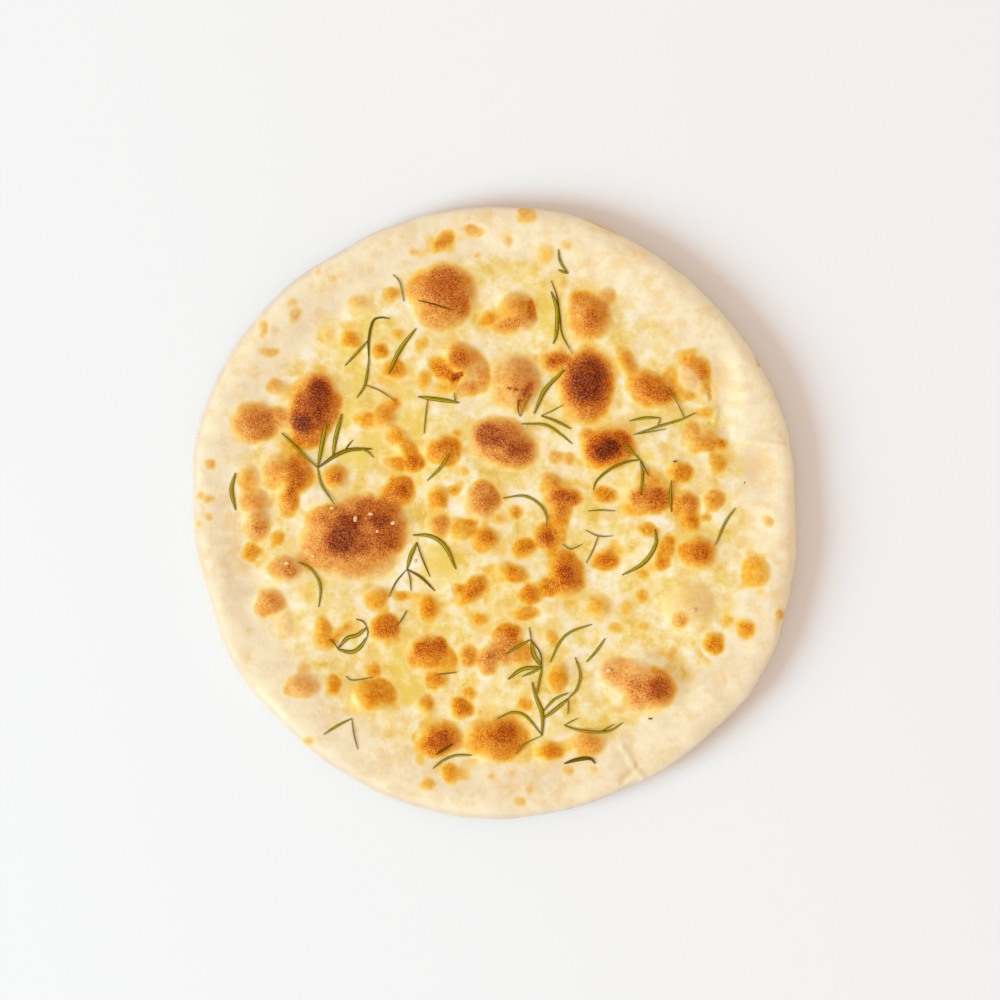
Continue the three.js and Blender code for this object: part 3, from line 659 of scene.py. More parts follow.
SPRIGS: tuple[tuple[Needle, ...], ...] = (
    (
        (MIDDLING, ((32, 131.5), (33, 125.5), (37, 119.5))),
        (MIDDLING, ((32, 121.5), (34, 120.5), (37, 119.5))),
    ),
    (
        (SLIM, ((28.5, 116), (31.5, 107.5), (33, 97.5), (34, 89), (39, 79.5))),
        (BROAD, ((28.5, 110.5), (31.5, 101.5), (31, 89), (29.5, 84.5))),
    ),
    ((SLIM, ((-50.5, 119), (-47, 115), (-45, 105.5))),),
    ((SLIM, ((-38, 106), (-29.5, 103.7), (-21, 101))),),
    (
        (MIDDLING, ((-52, 97), (-57, 97.5), (-60.5, 95.5), (-62.5, 86.5), (-62.5, 76))),
        (MIDDLING, ((-62.5, 78), (-62.8, 74), (-64.5, 64), (-68.5, 57.5))),
        (MIDDLING, ((-62.5, 86.5), (-68.5, 80), (-74.5, 73.5))),
        (SLIM, ((-64.5, 64), (-57, 61), (-49.5, 56))),
    ),
    ((BROAD, ((-39, 92), (-47, 81.5), (-52.5, 69.5))),),
    (
        (BROAD, ((-38, 58), (-27, 56.5), (-17.5, 55))),
        (SLIM, ((-20, 60), (-19.5, 57.5), (-19.5, 55.3))),
        (SLIM, ((-33, 57.5), (-34, 50), (-35, 39.5))),
    ),
    (
        (SLIM, ((12, 56.5), (12, 52), (13, 48))),
        (SLIM, ((18.5, 59.5), (15, 53), (13, 48))),
    ),
    ((BROAD, ((35, 71.5), (25.5, 61.5), (20, 49.5))),),
    (
        (MIDDLING, ((23.5, 48.5), (30.5, 46), (38.5, 42))),
        (SLIM, ((23.5, 48.5), (29, 51), (34.5, 54))),
    ),
    ((MIDDLING, ((13.5, 44.5), (25.5, 44), (33, 39.5), (39, 34.5))),),
    (
        (MIDDLING, ((69.5, 39), (83, 43.5), (93, 46.5), (100.5, 50))),
        (MIDDLING, ((67.5, 46), (75.5, 47.5), (83, 47.5))),
        (SLIM, ((81.5, 43), (82.5, 45.5), (83, 47.5))),
        (SLIM, ((71, 39.3), (78, 40.5), (86, 42))),
        (SLIM, ((87, 63), (91, 56), (95, 47.4))),
    ),
    (
        (MIDDLING, ((64.5, 35), (69, 30.5), (73, 26.5))),
        (MIDDLING, ((73, 26.5), (66, 25.5), (58, 22), (51.5, 16.5), (49.5, 11.5))),
        (MIDDLING, ((73, 26.5), (74, 19), (73, 9))),
        (SLIM, ((73, 26.5), (75, 23), (77, 18.5))),
    ),
    ((MIDDLING, ((88.5, 16.5), (88, 8.5), (88.5, 0.5))),),
    ((MIDDLING, ((120.5, 2.5), (115.5, -4.5), (110.5, -16))),),
    ((BROAD, ((80.5, -8), (80.5, -16), (74.5, -25), (64, -31))),),
    (
        (SLIM, ((45.5, -8.5), (52, -11.5), (59.5, -11.5))),
        (SLIM, ((52, -11.5), (49.5, -18), (46, -25))),
    ),
    ((SLIM, ((34, -15.5), (38.5, -18), (44, -15.5))),),
    ((SLIM, ((46.5, 1), (53.5, 1.4), (60.5, 1))),),
    ((MIDDLING, ((4.5, 7.5), (15, 8.5), (22.5, 4.5), (26, -1), (26.5, -7))),),
    ((MIDDLING, ((-33.5, 16), (-27, 22.5), (-22, 30))),),
    (
        (MIDDLING, ((-106, 40), (-97, 31), (-88, 22.5))),
        (BROAD, ((-83.5, 46), (-86, 34), (-88, 22.5))),
        (BROAD, ((-88, 22.5), (-79.5, 28.5), (-72, 31.5), (-61, 32))),
        (MIDDLING, ((-88, 22.5), (-86, 14), (-79.5, 4.5))),
        (BROAD, ((-76, 49.5), (-79, 38), (-80.5, 28))),
        (SLIM, ((-70.5, 36.5), (-73, 33.5), (-75, 30.5))),
        (SLIM, ((-67, 32), (-63, 30.5), (-60, 27.5))),
    ),
    ((BROAD, ((-129, 20), (-131, 11.5), (-129, 1.5))),),
    ((BROAD, ((-40.5, -11), (-32, -11.5), (-24.5, -16.5), (-19, -28))),),
    (
        (BROAD, ((-38.5, -14.5), (-41.5, -21), (-43.5, -28))),
        (SLIM, ((-43.5, -28), (-49, -34.5), (-52.5, -42))),
        (MIDDLING, ((-43.5, -28), (-36, -32.5), (-29.5, -39))),
        (SLIM, ((-43.5, -28), (-42, -32.5), (-41.5, -39))),
        (SLIM, ((-38.5, -14.5), (-36.5, -21), (-32, -32))),
    ),
    ((MIDDLING, ((-98, -24.5), (-92.5, -27), (-88, -32.5), (-86.5, -38.5), (-87.5, -47))),),
    (
        (BROAD, ((-78, -68), (-72, -69.5), (-67.5, -67.5), (-63.5, -62))),
        (BROAD, ((-78, -68), (-73.5, -62.5), (-68.5, -61), (-63.5, -57))),
        (SLIM, ((-69, -53), (-65.5, -54), (-63.5, -57))),
        (SLIM, ((-63.5, -57), (-63, -59.5), (-63.5, -62))),
        (SLIM, ((-78, -68), (-79.5, -65), (-82, -63))),
    ),
    ((SLIM, ((-43.5, -48.5), (-46, -53), (-48.5, -56.5))),),
    ((SLIM, ((-74, -81.5), (-70.5, -83.5), (-60.5, -82))),),
    (
        (MIDDLING, ((-85, -110.5), (-78, -106), (-71, -102.5))),
        (SLIM, ((-71, -102.5), (-70, -110), (-68, -118))),
    ),
    ((SLIM, ((-28.5, -80.5), (-23.5, -80.2), (-18.5, -79.5))),),
    ((MIDDLING, ((-29, -120.5), (-25, -118), (-20.5, -115))),),
    ((MIDDLING, ((-30.5, -127.5), (-25.5, -123.5), (-19, -121), (-11, -121))),),
    (
        (MIDDLING, ((24, -77), (22.5, -84), (21, -92))),
        (BROAD, ((7, -83), (14, -78), (24, -77))),
        (MIDDLING, ((14, -81.5), (19, -79.5), (24, -77))),
        (BROAD, ((24, -77), (20, -71), (18.5, -63))),
        (SLIM, ((24, -77), (23, -70), (18.5, -63))),
        (MIDDLING, ((6, -70.5), (12, -66.5), (18.5, -63))),
        (SLIM, ((17.5, -57), (18, -60), (18.5, -63))),
        (BROAD, ((19, -84.5), (21, -92), (24, -100), (24, -111))),
        (MIDDLING, ((24, -99.5), (30, -93), (37, -89.8))),
        (BROAD, ((24.5, -102.5), (30.5, -98), (37, -92.5))),
        (MIDDLING, ((37, -92.5), (41.5, -87.5), (43, -80), (40.5, -72))),
        (SLIM, ((37, -92.5), (37, -97), (36.8, -100.5))),
        (MIDDLING, ((1.5, -102.5), (9, -99.5), (16, -101.5), (24, -111))),
        (SLIM, ((11, -120.5), (15, -115.5), (24, -111))),
    ),
    ((MIDDLING, ((28, -74.5), (32.5, -65), (38, -59.5), (49, -55.5))),),
    ((MIDDLING, ((46, -74.5), (51, -69), (55.5, -62.5))),),
    (
        (SLIM, ((35, -106), (38.5, -104), (42, -102.5))),
        (MIDDLING, ((35, -106), (43, -108.5), (56.5, -109), (64.5, -104.5))),
        (SLIM, ((54, -108.8), (57, -107), (60, -105.5))),
    ),
    ((BROAD, ((35, -125), (41.5, -123), (48, -122.5), (50.5, -125))),),
)

HERB_CRUMBS: tuple[tuple[float, float, float], ...] = (
    (90.4, 25.8, 2.0),
    (125, 15, 0.9),
    (78, -102.7, 1.6),
    (134.5, 48.5, 0.7),
)

SALT_GRAINS: tuple[tuple[float, float, float], ...] = (
    (-80.5, 2.5, 2.4),
    (-69, -3, 2.7),
    (-61.5, -0.5, 2.0),
    (-50.5, -5, 1.9),
    (-58, -9, 1.4),
    (-103.5, -25, 1.9),
    (-90, -21.5, 1.4),
    (99.5, -48.5, 1.9),
    (57.5, -78.5, 1.9),
    (-39.5, -24, 1.9),
)


@dataclass(frozen=True)
class Rise:
    """A smooth rise from 0 at one value to a share at another, or a fall where the other is the smaller."""

    start: float
    end: float
    share: float = 1.0

    def of(self, value: Socket) -> Socket:
        """Gives how far the rise has come at a value."""
        return value.between(self.start, self.end, self.share)


@dataclass(frozen=True)
class Layer:
    """Noise of one size, in millimetres, with its shares in the browning, the tone and the bumps."""

    size: float
    detail: float = 2.0
    heat: float = 0.0
    tone: float = 0.0
    skin: float = 0.0

    def of(self, shader: Shader, place: Socket) -> Socket:
        """Makes the noise, round 0.5."""
        return shader.cloud(place, self.size * MM, self.detail)


@dataclass(frozen=True)
class CrustFinish:
    """Baked crust: pale floury dough, yellow where oil soaked in, browned and speckled on the blisters."""

    floury: Colour = paint(249, 231, 193)
    blush: Colour = paint(243, 209, 149)
    rosy: Colour = paint(236, 214, 176)
    # The flank's two colours are painted against the light: darker on the side toward the lamp, paler on the
    # shaded side away from it.
    lamp_side_flank: Colour = paint(223, 198, 174)
    foot: Colour = paint(234, 168, 112)
    shade_side_flank: Colour = paint(250, 242, 211)
    lemon: Colour = paint(242, 211, 96)
    peach: Colour = paint(243, 204, 136)
    ash: Colour = paint(206, 146, 116)
    dusting: Colour = paint(240, 226, 200)
    dough: Stops = (
        (0.0, paint(254, 243, 213)),
        (0.3, paint(252, 233, 185)),
        (0.52, paint(248, 223, 154)),
        (0.7, paint(244, 213, 126)),
        (0.86, paint(239, 202, 104)),
        (1.0, paint(234, 189, 86)),
    )
    baking: Stops = (
        (0.0, paint(250, 226, 160)),
        (0.10, paint(248, 215, 136)),
        (0.22, paint(244, 195, 86)),
        (0.35, paint(238, 165, 46)),
        (0.45, paint(230, 145, 24)),
        (0.55, paint(218, 121, 10)),
        (0.65, paint(203, 100, 2)),
        (0.75, paint(184, 81, 0)),
        (0.86, paint(152, 60, 2)),
        (0.95, paint(120, 42, 2)),
        (1.0, paint(94, 28, 0)),
    )
    parched: Stops = (
        (0.0, paint(250, 228, 176)),
        (0.10, paint(248, 218, 158)),
        (0.22, paint(240, 199, 130)),
        (0.35, paint(234, 176, 99)),
        (0.45, paint(230, 157, 72)),
        (0.55, paint(218, 134, 54)),
        (0.65, paint(202, 112, 44)),
        (0.75, paint(184, 93, 38)),
        (0.86, paint(156, 74, 34)),
        (0.95, paint(126, 56, 28)),
        (1.0, paint(102, 40, 18)),
    )
    grain: Layer = Layer(0.62, heat=1.2, tone=0.5, skin=0.2)
    flecks: Layer = Layer(2.0, 3.0, heat=0.42, tone=0.6, skin=0.35)
    mottle: Layer = Layer(6.0, heat=0.3, tone=1.5, skin=0.4)
    drift: Layer = Layer(15.0, 3.0, tone=1.8)
    hue: Layer = Layer(8.7, 3.0)
    spots: Layer = Layer(13.0, 4.0)
    dust: Layer = Layer(2.2, 3.0)
    pore_size: float = 0.9
    pored: Rise = Rise(0.5, 0.1)
    pore_patches: Rise = Rise(0.38, 0.62)
    pore_chill: float = 0.16
    ragged: Rise = Rise(0.05, 0.4)
    browned: Rise = Rise(0.3, 0.6)
    browned_skin: float = 0.5
    oil_tone: float = 0.33
    dough_tone: float = 0.47
    peachy: Rise = Rise(0.47, 0.72, 0.5)
    soaked: Rise = Rise(-0.9, 0.7, 0.85)
    tinge_oil: float = 0.5
    tinged: Rise = Rise(-0.12, 0.6, 0.9)
    reddened: Rise = Rise(0.45, 0.68, 0.55)
    flank_tinge: float = 0.3
    on_rim: Rise = Rise(0.0, 1.0)
    on_flank: Rise = Rise(1.0, 2.0)
    dusty: Rise = Rise(0.0, 1.0)
    dusty_pores: float = 0.5
    dusty_hue: float = 0.8
    ash_share: float = 0.34
    baked: Rise = Rise(0.02, 0.2)
    at_foot: Rise = Rise(0.0, 0.75)
    foot_patches: Rise = Rise(-0.35, 0.45, 0.7)
    foot_least: float = 0.15
    at_base: Rise = Rise(0.72, 0.98)
    spotted: Rise = Rise(0.4, 0.7, 0.62)
    base_mottle: float = 0.2
    base_heat: float = 0.14
    dusted_base: Rise = Rise(0.52, 0.72, 0.6)
    oily: Rise = Rise(0.0, 1.0)
    unbaked: Rise = Rise(0.4, 0.15)
    roughness: float = 0.6
    wet_gloss: float = 0.15
    coat: float = 0.3
    coat_roughness: float = 0.28
    specular: float = 0.06
    bump_height: float = 0.3
    bump_strength: float = 0.8

    def material(self) -> bpy.types.Material:
        """Builds the crust's material, which reads the loaf's fields."""
        shader = Shader("crust")
        place = shader.place()
        bake, oil, dry, rim, side, under = (shader.field(field.value) for field in Field)
        layers = (self.grain, self.flecks, self.mottle, self.drift, self.hue)
        grain, flecks, mottle, drift, hue = (layer.of(shader, place) for layer in layers)

        browned = self.browned.of(bake)
        pores = self.pored.of(shader.pits(place, self.pore_size * MM))
        pores = pores * browned * self.pore_patches.of(flecks)
        blotches = mottle.centred() * self.mottle.heat + flecks.centred() * self.flecks.heat
        heat = bake + blotches * self.ragged.of(bake)
        heat = heat + grain.centred() * self.grain.heat * browned
        heat = heat - pores * (self.pore_chill + self.pore_chill * dry)
        patches = drift.centred() * self.drift.tone + mottle.centred() * self.mottle.tone
        patches = patches + flecks.centred() * self.flecks.tone + grain.centred() * self.grain.tone

        dough = self.dough_colour(shader, patches, hue, oil, rim, side)
        baked = self.baked_colour(shader, heat, dry, pores, hue)
        crust = shader.mix(self.baked.of(heat), dough, baked)
        toasted = self.at_foot.of(under) * (self.foot_least + self.foot_patches.of(patches))
        crust = shader.mix(toasted, crust, self.foot)
        base = self.base_colour(shader, place, mottle)
        wet = oil.top(0.0) * self.unbaked.of(bake)
        skin = mottle * self.mottle.skin + flecks * self.flecks.skin
        skin = skin + grain * (self.grain.skin + self.browned_skin * browned)
        return shader.surface(
            {
                "Base Color": shader.mix(self.at_base.of(under), crust, base),
                "Roughness": self.roughness - self.wet_gloss * wet,
                "Coat Weight": wet * self.coat,
                "Coat Roughness": self.coat_roughness,
                "Specular IOR Level": self.specular,
                "Normal": shader.bump(skin, self.bump_height * MM, self.bump_strength),
            }
        )

    def dough_colour(
        self, shader: Shader, patches: Socket, hue: Socket, oil: Socket, rim: Socket, side: Socket
    ) -> Socket:
        """Colours the unbaked look: yellow in the middle, floury on rim and flank, the flank painted darker
        toward the lamp.

        Args:
            shader: The material being built.
            patches: Paler and yellower patches, round 0.
            hue: Soft noise of the tint.
            oil: How oily the dough is.
            rim: From 0 in the middle over 1 on the rim to 2 at the outline.
            side: From 0 on the side toward the lamp to 1 on the shaded side away from it.

        Returns:
            The dough's colour.
        """
        middle = shader.ramp(patches + oil * self.oil_tone + self.dough_tone, self.dough)
        middle = shader.mix(self.peachy.of(hue), middle, self.peach)
        middle = shader.mix(self.oily.of(oil) * self.soaked.of(patches), middle, self.lemon)
        # On the rim oil tints the dough toward blush, which also carries the painted shade of the rim's dent
        # and fold.
        tinge = self.tinged.of(patches + oil * self.tinge_oil)
        edge = shader.mix(tinge, self.floury, self.blush)
        edge = shader.mix(self.reddened.of(hue), edge, self.rosy)
        # Painted light and shade: the flank is darker toward the lamp and paler on its shaded side, which
        # evens out the lamp's shading.
        flank = shader.mix(side, self.lamp_side_flank, self.shade_side_flank)
        flank = shader.mix(tinge * self.flank_tinge, flank, self.blush)
        edge = shader.mix(self.on_flank.of(rim), edge, flank)
        return shader.mix(self.on_rim.of(rim), middle, edge)

    def baked_colour(self, shader: Shader, heat: Socket, dry: Socket, pores: Socket, hue: Socket) -> Socket:
        """Colours the blisters: oily brown or dry and pinker, with ashen pores.

        Args:
            shader: The material being built.
            heat: How far the crust is browned.
            dry: How dry its skin is.
            pores: Where it is pitted.
            hue: Soft noise of the tint.

        Returns:
            The blisters' colour.
        """
        dusty = dry + pores * self.dusty_pores + hue.centred() * self.dusty_hue
        oily_brown = shader.ramp(heat, self.baking)
        dry_brown = shader.ramp(heat, self.parched)
        baked = shader.mix(self.dusty.of(dusty), oily_brown, dry_brown)
        return shader.mix(pores * self.ash_share, baked, self.ash)

    def base_colour(self, shader: Shader, place: Socket, mottle: Socket) -> Socket:
        """Colours the base: browned in spots where it lay on the hot floor, pale and dusty between.

        Args:
            shader: The material being built.
            place: The point of the surface.
            mottle: Fine noise.

        Returns:
            The base's colour.
        """
        heat = self.spotted.of(self.spots.of(shader, place)) + mottle.centred() * self.base_mottle
        browned = shader.ramp(heat + self.base_heat, self.parched)
        return shader.mix(self.dusted_base.of(self.dust.of(shader, place)), browned, self.dusting)


@dataclass(frozen=True)
class RosemaryFinish:
    """Rosemary baked on the crust: olive green, pale bands of painted highlight between the dark rib and
    dark edges, partly painted shade.
    """

    toasted: Colour = paint(84, 48, 2)
    dark: Colour = paint(66, 56, 0)
    # Colour across the leaf: the pale bands are painted highlights on its arched faces; the dark rib and
    # edges are the leaf's own dark green deepened with painted shade in the groove and at the rolled edges.
    across: Stops = (
        (0.0, paint(60, 28, 0)),
        (0.15, paint(112, 82, 0)),
        (0.31, paint(232, 210, 44)),
        (0.44, paint(158, 138, 0)),
        (0.52, paint(96, 72, 0)),
        (0.66, paint(202, 178, 16)),
        (0.84, paint(114, 84, 0)),
        (1.0, paint(52, 22, 0)),
    )
    grain: Layer = Layer(1.6)
    browning: Rise = Rise(0.35, 0.05, 0.75)
    darkening: Rise = Rise(0.5, 0.75, 0.3)
    tips: Rise = Rise(0.3, 0.5, 0.45)
    roughness: float = 0.4
    grain_roughness: float = 0.2
    bump_height: float = 0.12

    def material(self) -> bpy.types.Material:
        """Builds the material, which reads each needle's fields."""
        shader = Shader("rosemary")
        across, along, tint = (shader.field(blade.value) for blade in Blade)
        grain = self.grain.of(shader, shader.place())
        leaf = shader.ramp(across.from_signed(), self.across)
        leaf = shader.mix(self.browning.of(tint), leaf, self.toasted)
        leaf = shader.mix(self.darkening.of(grain), leaf, self.dark)
        return shader.surface(
            {
                "Base Color": shader.mix(self.tips.of(along.centred().size()), leaf, self.dark),
                "Roughness": self.roughness + self.grain_roughness * grain,
                "Specular IOR Level": 0.0,
                "Normal": shader.bump(grain, self.bump_height * MM),
            }
        )


@dataclass(frozen=True)
class SaltFinish:
    """Coarse salt: clouded crystals, their white painted warm for the crust's light that shines through
    them.
    """

    # Painted light: the crystals' colours are warm, standing in for the crust's colour seen through them.
    clear: Colour = (0.98, 0.74, 0.4, 1.0)
    clouded: Colour = (0.95, 0.57, 0.26, 1.0)
    cloud: Layer = Layer(0.8)
    roughness: float = 0.25
    cloud_roughness: float = 0.2
    clearness: float = 0.25
    refraction: float = 1.54

    def material(self) -> bpy.types.Material:
        """Builds the material."""
        shader = Shader("salt")
        cloud = self.cloud.of(shader, shader.place())
        return shader.surface(
            {
                "Base Color": shader.mix(cloud, self.clear, self.clouded),
                "Roughness": self.roughness + self.cloud_roughness * cloud,
                "Transmission Weight": self.clearness,
                "IOR": self.refraction,
            }
        )


@dataclass(frozen=True)
class HerbFinish:
    """Crumbs of dried herb: nearly black, with a brown cast."""

    dark: Colour = paint(66, 48, 0)
    brown: Colour = paint(118, 76, 8)
    cloud: Layer = Layer(0.8)
    browning: Rise = Rise(0.4, 0.6)
    roughness: float = 0.7
    specular: float = 0.05

    def material(self) -> bpy.types.Material:
        """Builds the material."""
        shader = Shader("herb")
        cloud = self.cloud.of(shader, shader.place())
        return shader.surface(
            {
                "Base Color": shader.mix(self.browning.of(cloud), self.dark, self.brown),
                "Roughness": self.roughness,
                "Specular IOR Level": self.specular,
            }
        )


@dataclass(frozen=True)
class FloorFinish:
    """A plain pale studio floor."""

    colour: Colour = (0.8, 0.8, 0.8, 1.0)
    roughness: float = 0.9
    specular: float = 0.1

    def material(self) -> bpy.types.Material:
        """Builds the material."""
        look = {"Base Color": self.colour, "Roughness": self.roughness, "Specular IOR Level": self.specular}
        return Shader("studio_floor").surface(look)


def unique(items: Iterable[Any]) -> list[Any]:
    """Keeps each item once, in the order in which they come."""
    return list(dict.fromkeys(items))


def finished(bm: bmesh.types.BMesh, name: str) -> bpy.types.Mesh:
    """Turns a working mesh into one of the scene's and frees it."""
    mesh = bpy.data.meshes.new(name)
    bm.to_mesh(mesh)
    bm.free()
    return mesh


def add_object(
    name: str, mesh: bpy.types.Mesh, material: bpy.types.Material, sharp: float = 180.0
) -> bpy.types.Object:
    """Puts a finished mesh into the scene.

    Args:
        name: The piece's name.
        mesh: Its mesh, in place.
        material: Its finish.
        sharp: Angle in degrees above which an edge between faces stays sharp.

    Returns:
        The new object, at the origin.
    """
    mesh.materials.clear()
    mesh.materials.append(material)
    mesh.shade_smooth()
    mesh.set_sharp_from_angle(angle=math.radians(sharp))
    made = bpy.data.objects.new(name, mesh)
    bpy.context.scene.collection.objects.link(made)
    return made


def store(mesh: bpy.types.Mesh, name: str, values: np.ndarray) -> None:
    """Keeps one number for each vertex in the mesh.

    Args:
        mesh: The mesh.
        name: The field's name.
        values: A number for each vertex.
    """
    field = mesh.attributes.new(name, "FLOAT", "POINT")
    field.data.foreach_set("value", values.astype(np.float32))


@dataclass(frozen=True)
class Wave:
    """Smooth random lumps: their size and height in millimetres, and where in the noise they lie."""

    length: float
    height: float
    offset: float = 0.0


@dataclass
class Loaf:
    """The bread: the solid's own form, rounded and given its small relief, with its browning at each vertex.

    Sizes are in millimetres. A span is where a smooth rise starts and where it ends.
    """

    cuts: int = 3
    weld: float = 0.001
    easing: float = 0.5
    rounding: int = 7
    rolling: int = 24
    roll_radius: float = 126.0
    base_height: float = 0.05
    crust_span: Span = (5.4, 7.0)
    foot_span: Span = (-4.4, -0.3)
    rim_span: Span = (-34.0, -19.0)
    flank_span: Span = (-5.0, 0.0)
    side_span: Span = (-0.9, 0.9)
    # Azimuth in degrees, opposite the lamp, where the flank is painted palest against its shade.
    shade_side_azimuth: float = 20.0
    outline_steps: int = 180
    stray: Wave = Wave(13.0, 1.3)
    fine_stray: Wave = Wave(5.0, 0.975)
    relief_stray: Wave = Wave(10.0, 1.3)
    lobes: tuple[tuple[int, float], ...] = ((2, 0.03), (3, 0.04), (5, 0.03))
    softness: Span = (0.3, 0.55)
    lopsided: float = 0.6
    halo: float = 2.0
    halo_share: float = 0.12
    edge_rise: Span = (1.2, 4.5)
    edge_level: float = 0.86
    middle_level: float = 1.1
    middle_from: float = 0.2
    middle_full: float = 0.95
    merging: float = 4.0
    scorch_softness: float = 0.6
    smudging: Wave = Wave(6.5, 1.0, 17.0)
    smudge_span: Span = (-0.05, 0.5)
    smudge: float = 0.5
    smudge_reach: Span = (-11.0, 1.0)
    dry_clearing: float = 0.6
    dry_reach: Span = (-2.0, 2.0)
    ring_outer: Span = (-5.5, -1.8)
    ring_inner: Span = (-1.8, 1.0)
    ring_paleness: float = 0.2
    tear_browning: float = 0.85
    tear_reach: float = 1.3
    tear_softness: float = 0.6
    tear_slope: float = 0.7
    oil_reach: float = 1.55
    oil_softness: float = 1.2
    bare_reach: float = 1.25
    bare_softness: float = 0.8
    speck: float = 2.6
    speck_radius: float = 112.0
    speck_dryness: float = 0.95
    puff_share: float = 0.15
    puff_most: float = 1.5
    puff_roundness: float = 0.72
    firm_strength: float = 0.4
    bulge_softness: float = 0.6
    swell: Wave = Wave(27.0, 0.45, 31.0)
    lump: Wave = Wave(8.0, 0.22, 7.0)
    crinkle: Wave = Wave(3.4, 0.1, 3.0)
    crinkle_least: float = 0.5
    lump_span: Span = (0.3, 4.0)
    sway: Wave = Wave(19.0, 0.7, 41.0)
    pucker: Wave = Wave(5.5, 0.35, 53.0)
    sway_inset: Span = (-8.0, 0.0)
    sway_span: Span = (0.3, 3.0)
    least_radius: float = 1.0
    brim: float = 2.0
    brim_span: Span = (-16.0, -4.0)
    outline_height: float = 7.4
    crest_height: float = 12.7
    seed: int = 5
    noise_seed: int = 1

    def build(self) -> bpy.types.Object:
        """Makes the loaf and puts it in place of its solid.

        Returns:
            The loaf's object.
        """
        noise.seed_set(self.noise_seed)
        mesh = self.refined()
        count = len(mesh.vertices)
        flat = np.empty(count * 3)
        mesh.vertices.foreach_get("co", flat)
        points = flat.reshape(-1, 3) / MM
        fields = self.fields(points)
        raised = points.copy()
        raised[:, 2] += self.relief(points, fields)
        raised[:, :2] += self.unevenness(points)
        mesh.vertices.foreach_set("co", (raised * MM).ravel())
        for field, values in fields.items():
            store(mesh, field.value, values)
        mesh.update()
        loaf = add_object("focaccia_loaf", mesh, CrustFinish().material())
        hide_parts(LOAF_NODE)
        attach(loaf, BODY)
        log.info("loaf: %d vertices", count)
        return loaf

    def refined(self) -> bpy.types.Mesh:
        """Splits the solid's facets and rounds them off, with the flat base kept.

        Returns:
            A new mesh.
        """
        bm = bmesh.new()
        bm.from_mesh(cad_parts[LOAF_NODE].data)
        bmesh.ops.remove_doubles(bm, verts=bm.verts, dist=self.weld * MM)
        bmesh.ops.subdivide_edges(bm, edges=bm.edges, cuts=self.cuts, use_grid_fill=True)
        above = [vertex for vertex in bm.verts if vertex.co.z > self.base_height * MM]
        every_way = {"use_axis_x": True, "use_axis_y": True, "use_axis_z": True}
        for _ in range(self.rounding):
            bmesh.ops.smooth_vert(bm, verts=above, factor=self.easing, **every_way)
        roll = [vertex for vertex in above if vertex.co.xy.length > self.roll_radius * MM]
        for _ in range(self.rolling):
            bmesh.ops.smooth_vert(bm, verts=roll, factor=self.easing, use_axis_z=True)
        return finished(bm, "focaccia_loaf")

    def wander(self, points: np.ndarray, wave: Wave) -> np.ndarray:
        """Gives a smooth random vector at every point.

        Args:
            points: Places in millimetres.
            wave: The lumps.

        Returns:
            Three numbers for each point, up to about the lumps' height.
        """
        places = ((points + wave.offset) / wave.length).tolist()
        return np.array([noise.noise_vector(place) for place in places]) * wave.height

    def on_top(self, points: np.ndarray) -> np.ndarray:
        """Gives 1 on the top of the loaf and 0 on its flank."""
        return smoothstep(points[:, 2], *self.crust_span)

    def fields(self, points: np.ndarray) -> dict[Field, np.ndarray]:
        """Works out the browning, the oil, the rim and the underside at every vertex.

        Args:
            points: The vertices in millimetres.

        Returns:
            Each field's values.
        """
        flat = points * PLAN
        stray = self.wander(flat, self.stray) + self.wander(flat, self.fine_stray)
        x, y = (points + stray)[:, :2].T
        bake, dryness, rings = self.browning(flat, x, y)
        for crease in CREASES:
            slit = crease.height(points[:, 0], points[:, 1]) / crease.rise
            bake = np.maximum(bake, crease.browning * slit)
            dryness = np.maximum(dryness, slit * (crease.browning > 0.0))
        top = self.on_top(points)
        inset = self.inset(points)
        # How far each vertex turns away from the lamp, for the flank's painted counter-shading.
        turned = np.cos(np.arctan2(points[:, 1], points[:, 0]) - math.radians(self.shade_side_azimuth))
        return {
            Field.BAKE: bake * top,
            Field.OIL: (self.oiliness(x, y) - self.ring_paleness * rings) * top,
            Field.DRY: dryness,
            Field.RIM: smoothstep(-inset, *self.rim_span) + smoothstep(-inset, *self.flank_span),
            Field.SIDE: smoothstep(turned, *self.side_span),
            Field.UNDER: smoothstep(-points[:, 2], *self.foot_span),
        }

    def browning(
        self, flat: np.ndarray, x: np.ndarray, y: np.ndarray
    ) -> tuple[np.ndarray, np.ndarray, np.ndarray]:
        """Works out how the blisters brown the top.

        Args:
            flat: The vertices laid flat, in millimetres.
            x: Their strayed places across.
            y: Their strayed places along.

        Returns:
            The browning, the dryness and the pale rings round blisters at each vertex.
        """
        chance = random.Random(self.seed)
        gathered, near, rings, dryness = np.zeros((4, len(x)))
        for blister in BLISTERS:
            depth = self.depth(blister, x, y, chance)
            lean = np.cos(np.arctan2(y - blister.y, x - blister.x) - chance.uniform(0.0, math.tau))
            softness = chance.uniform(*self.softness) * (1.0 + self.lopsided * lean)
            gathered += self.baking(blister, depth, softness) ** self.merging
            oiliness = blister.strength * (1.0 - self.dry_clearing * blister.dry)
            near = np.maximum(near, oiliness * smoothstep(depth, *self.smudge_reach))
            ring = smoothstep(depth, *self.ring_outer) * (1.0 - smoothstep(depth, *self.ring_inner))
            rings = np.maximum(rings, ring * chance.random())
            dryness = np.maximum(dryness, self.dryness(blister) * smoothstep(depth, *self.dry_reach))
        bake = gathered ** (1.0 / self.merging)
        for scorch in SCORCHES:
            share = smoothstep(1.0 - scorch.distance(x, y), 0.0, self.scorch_softness)
            bake = np.maximum(bake, bake + (scorch.strength - bake) * share)
        smudges = smoothstep(self.wander(flat, self.smudging)[:, 2], *self.smudge_span)
        bake = np.maximum(bake, smudges * near * self.smudge)
        for tear in TEARS:
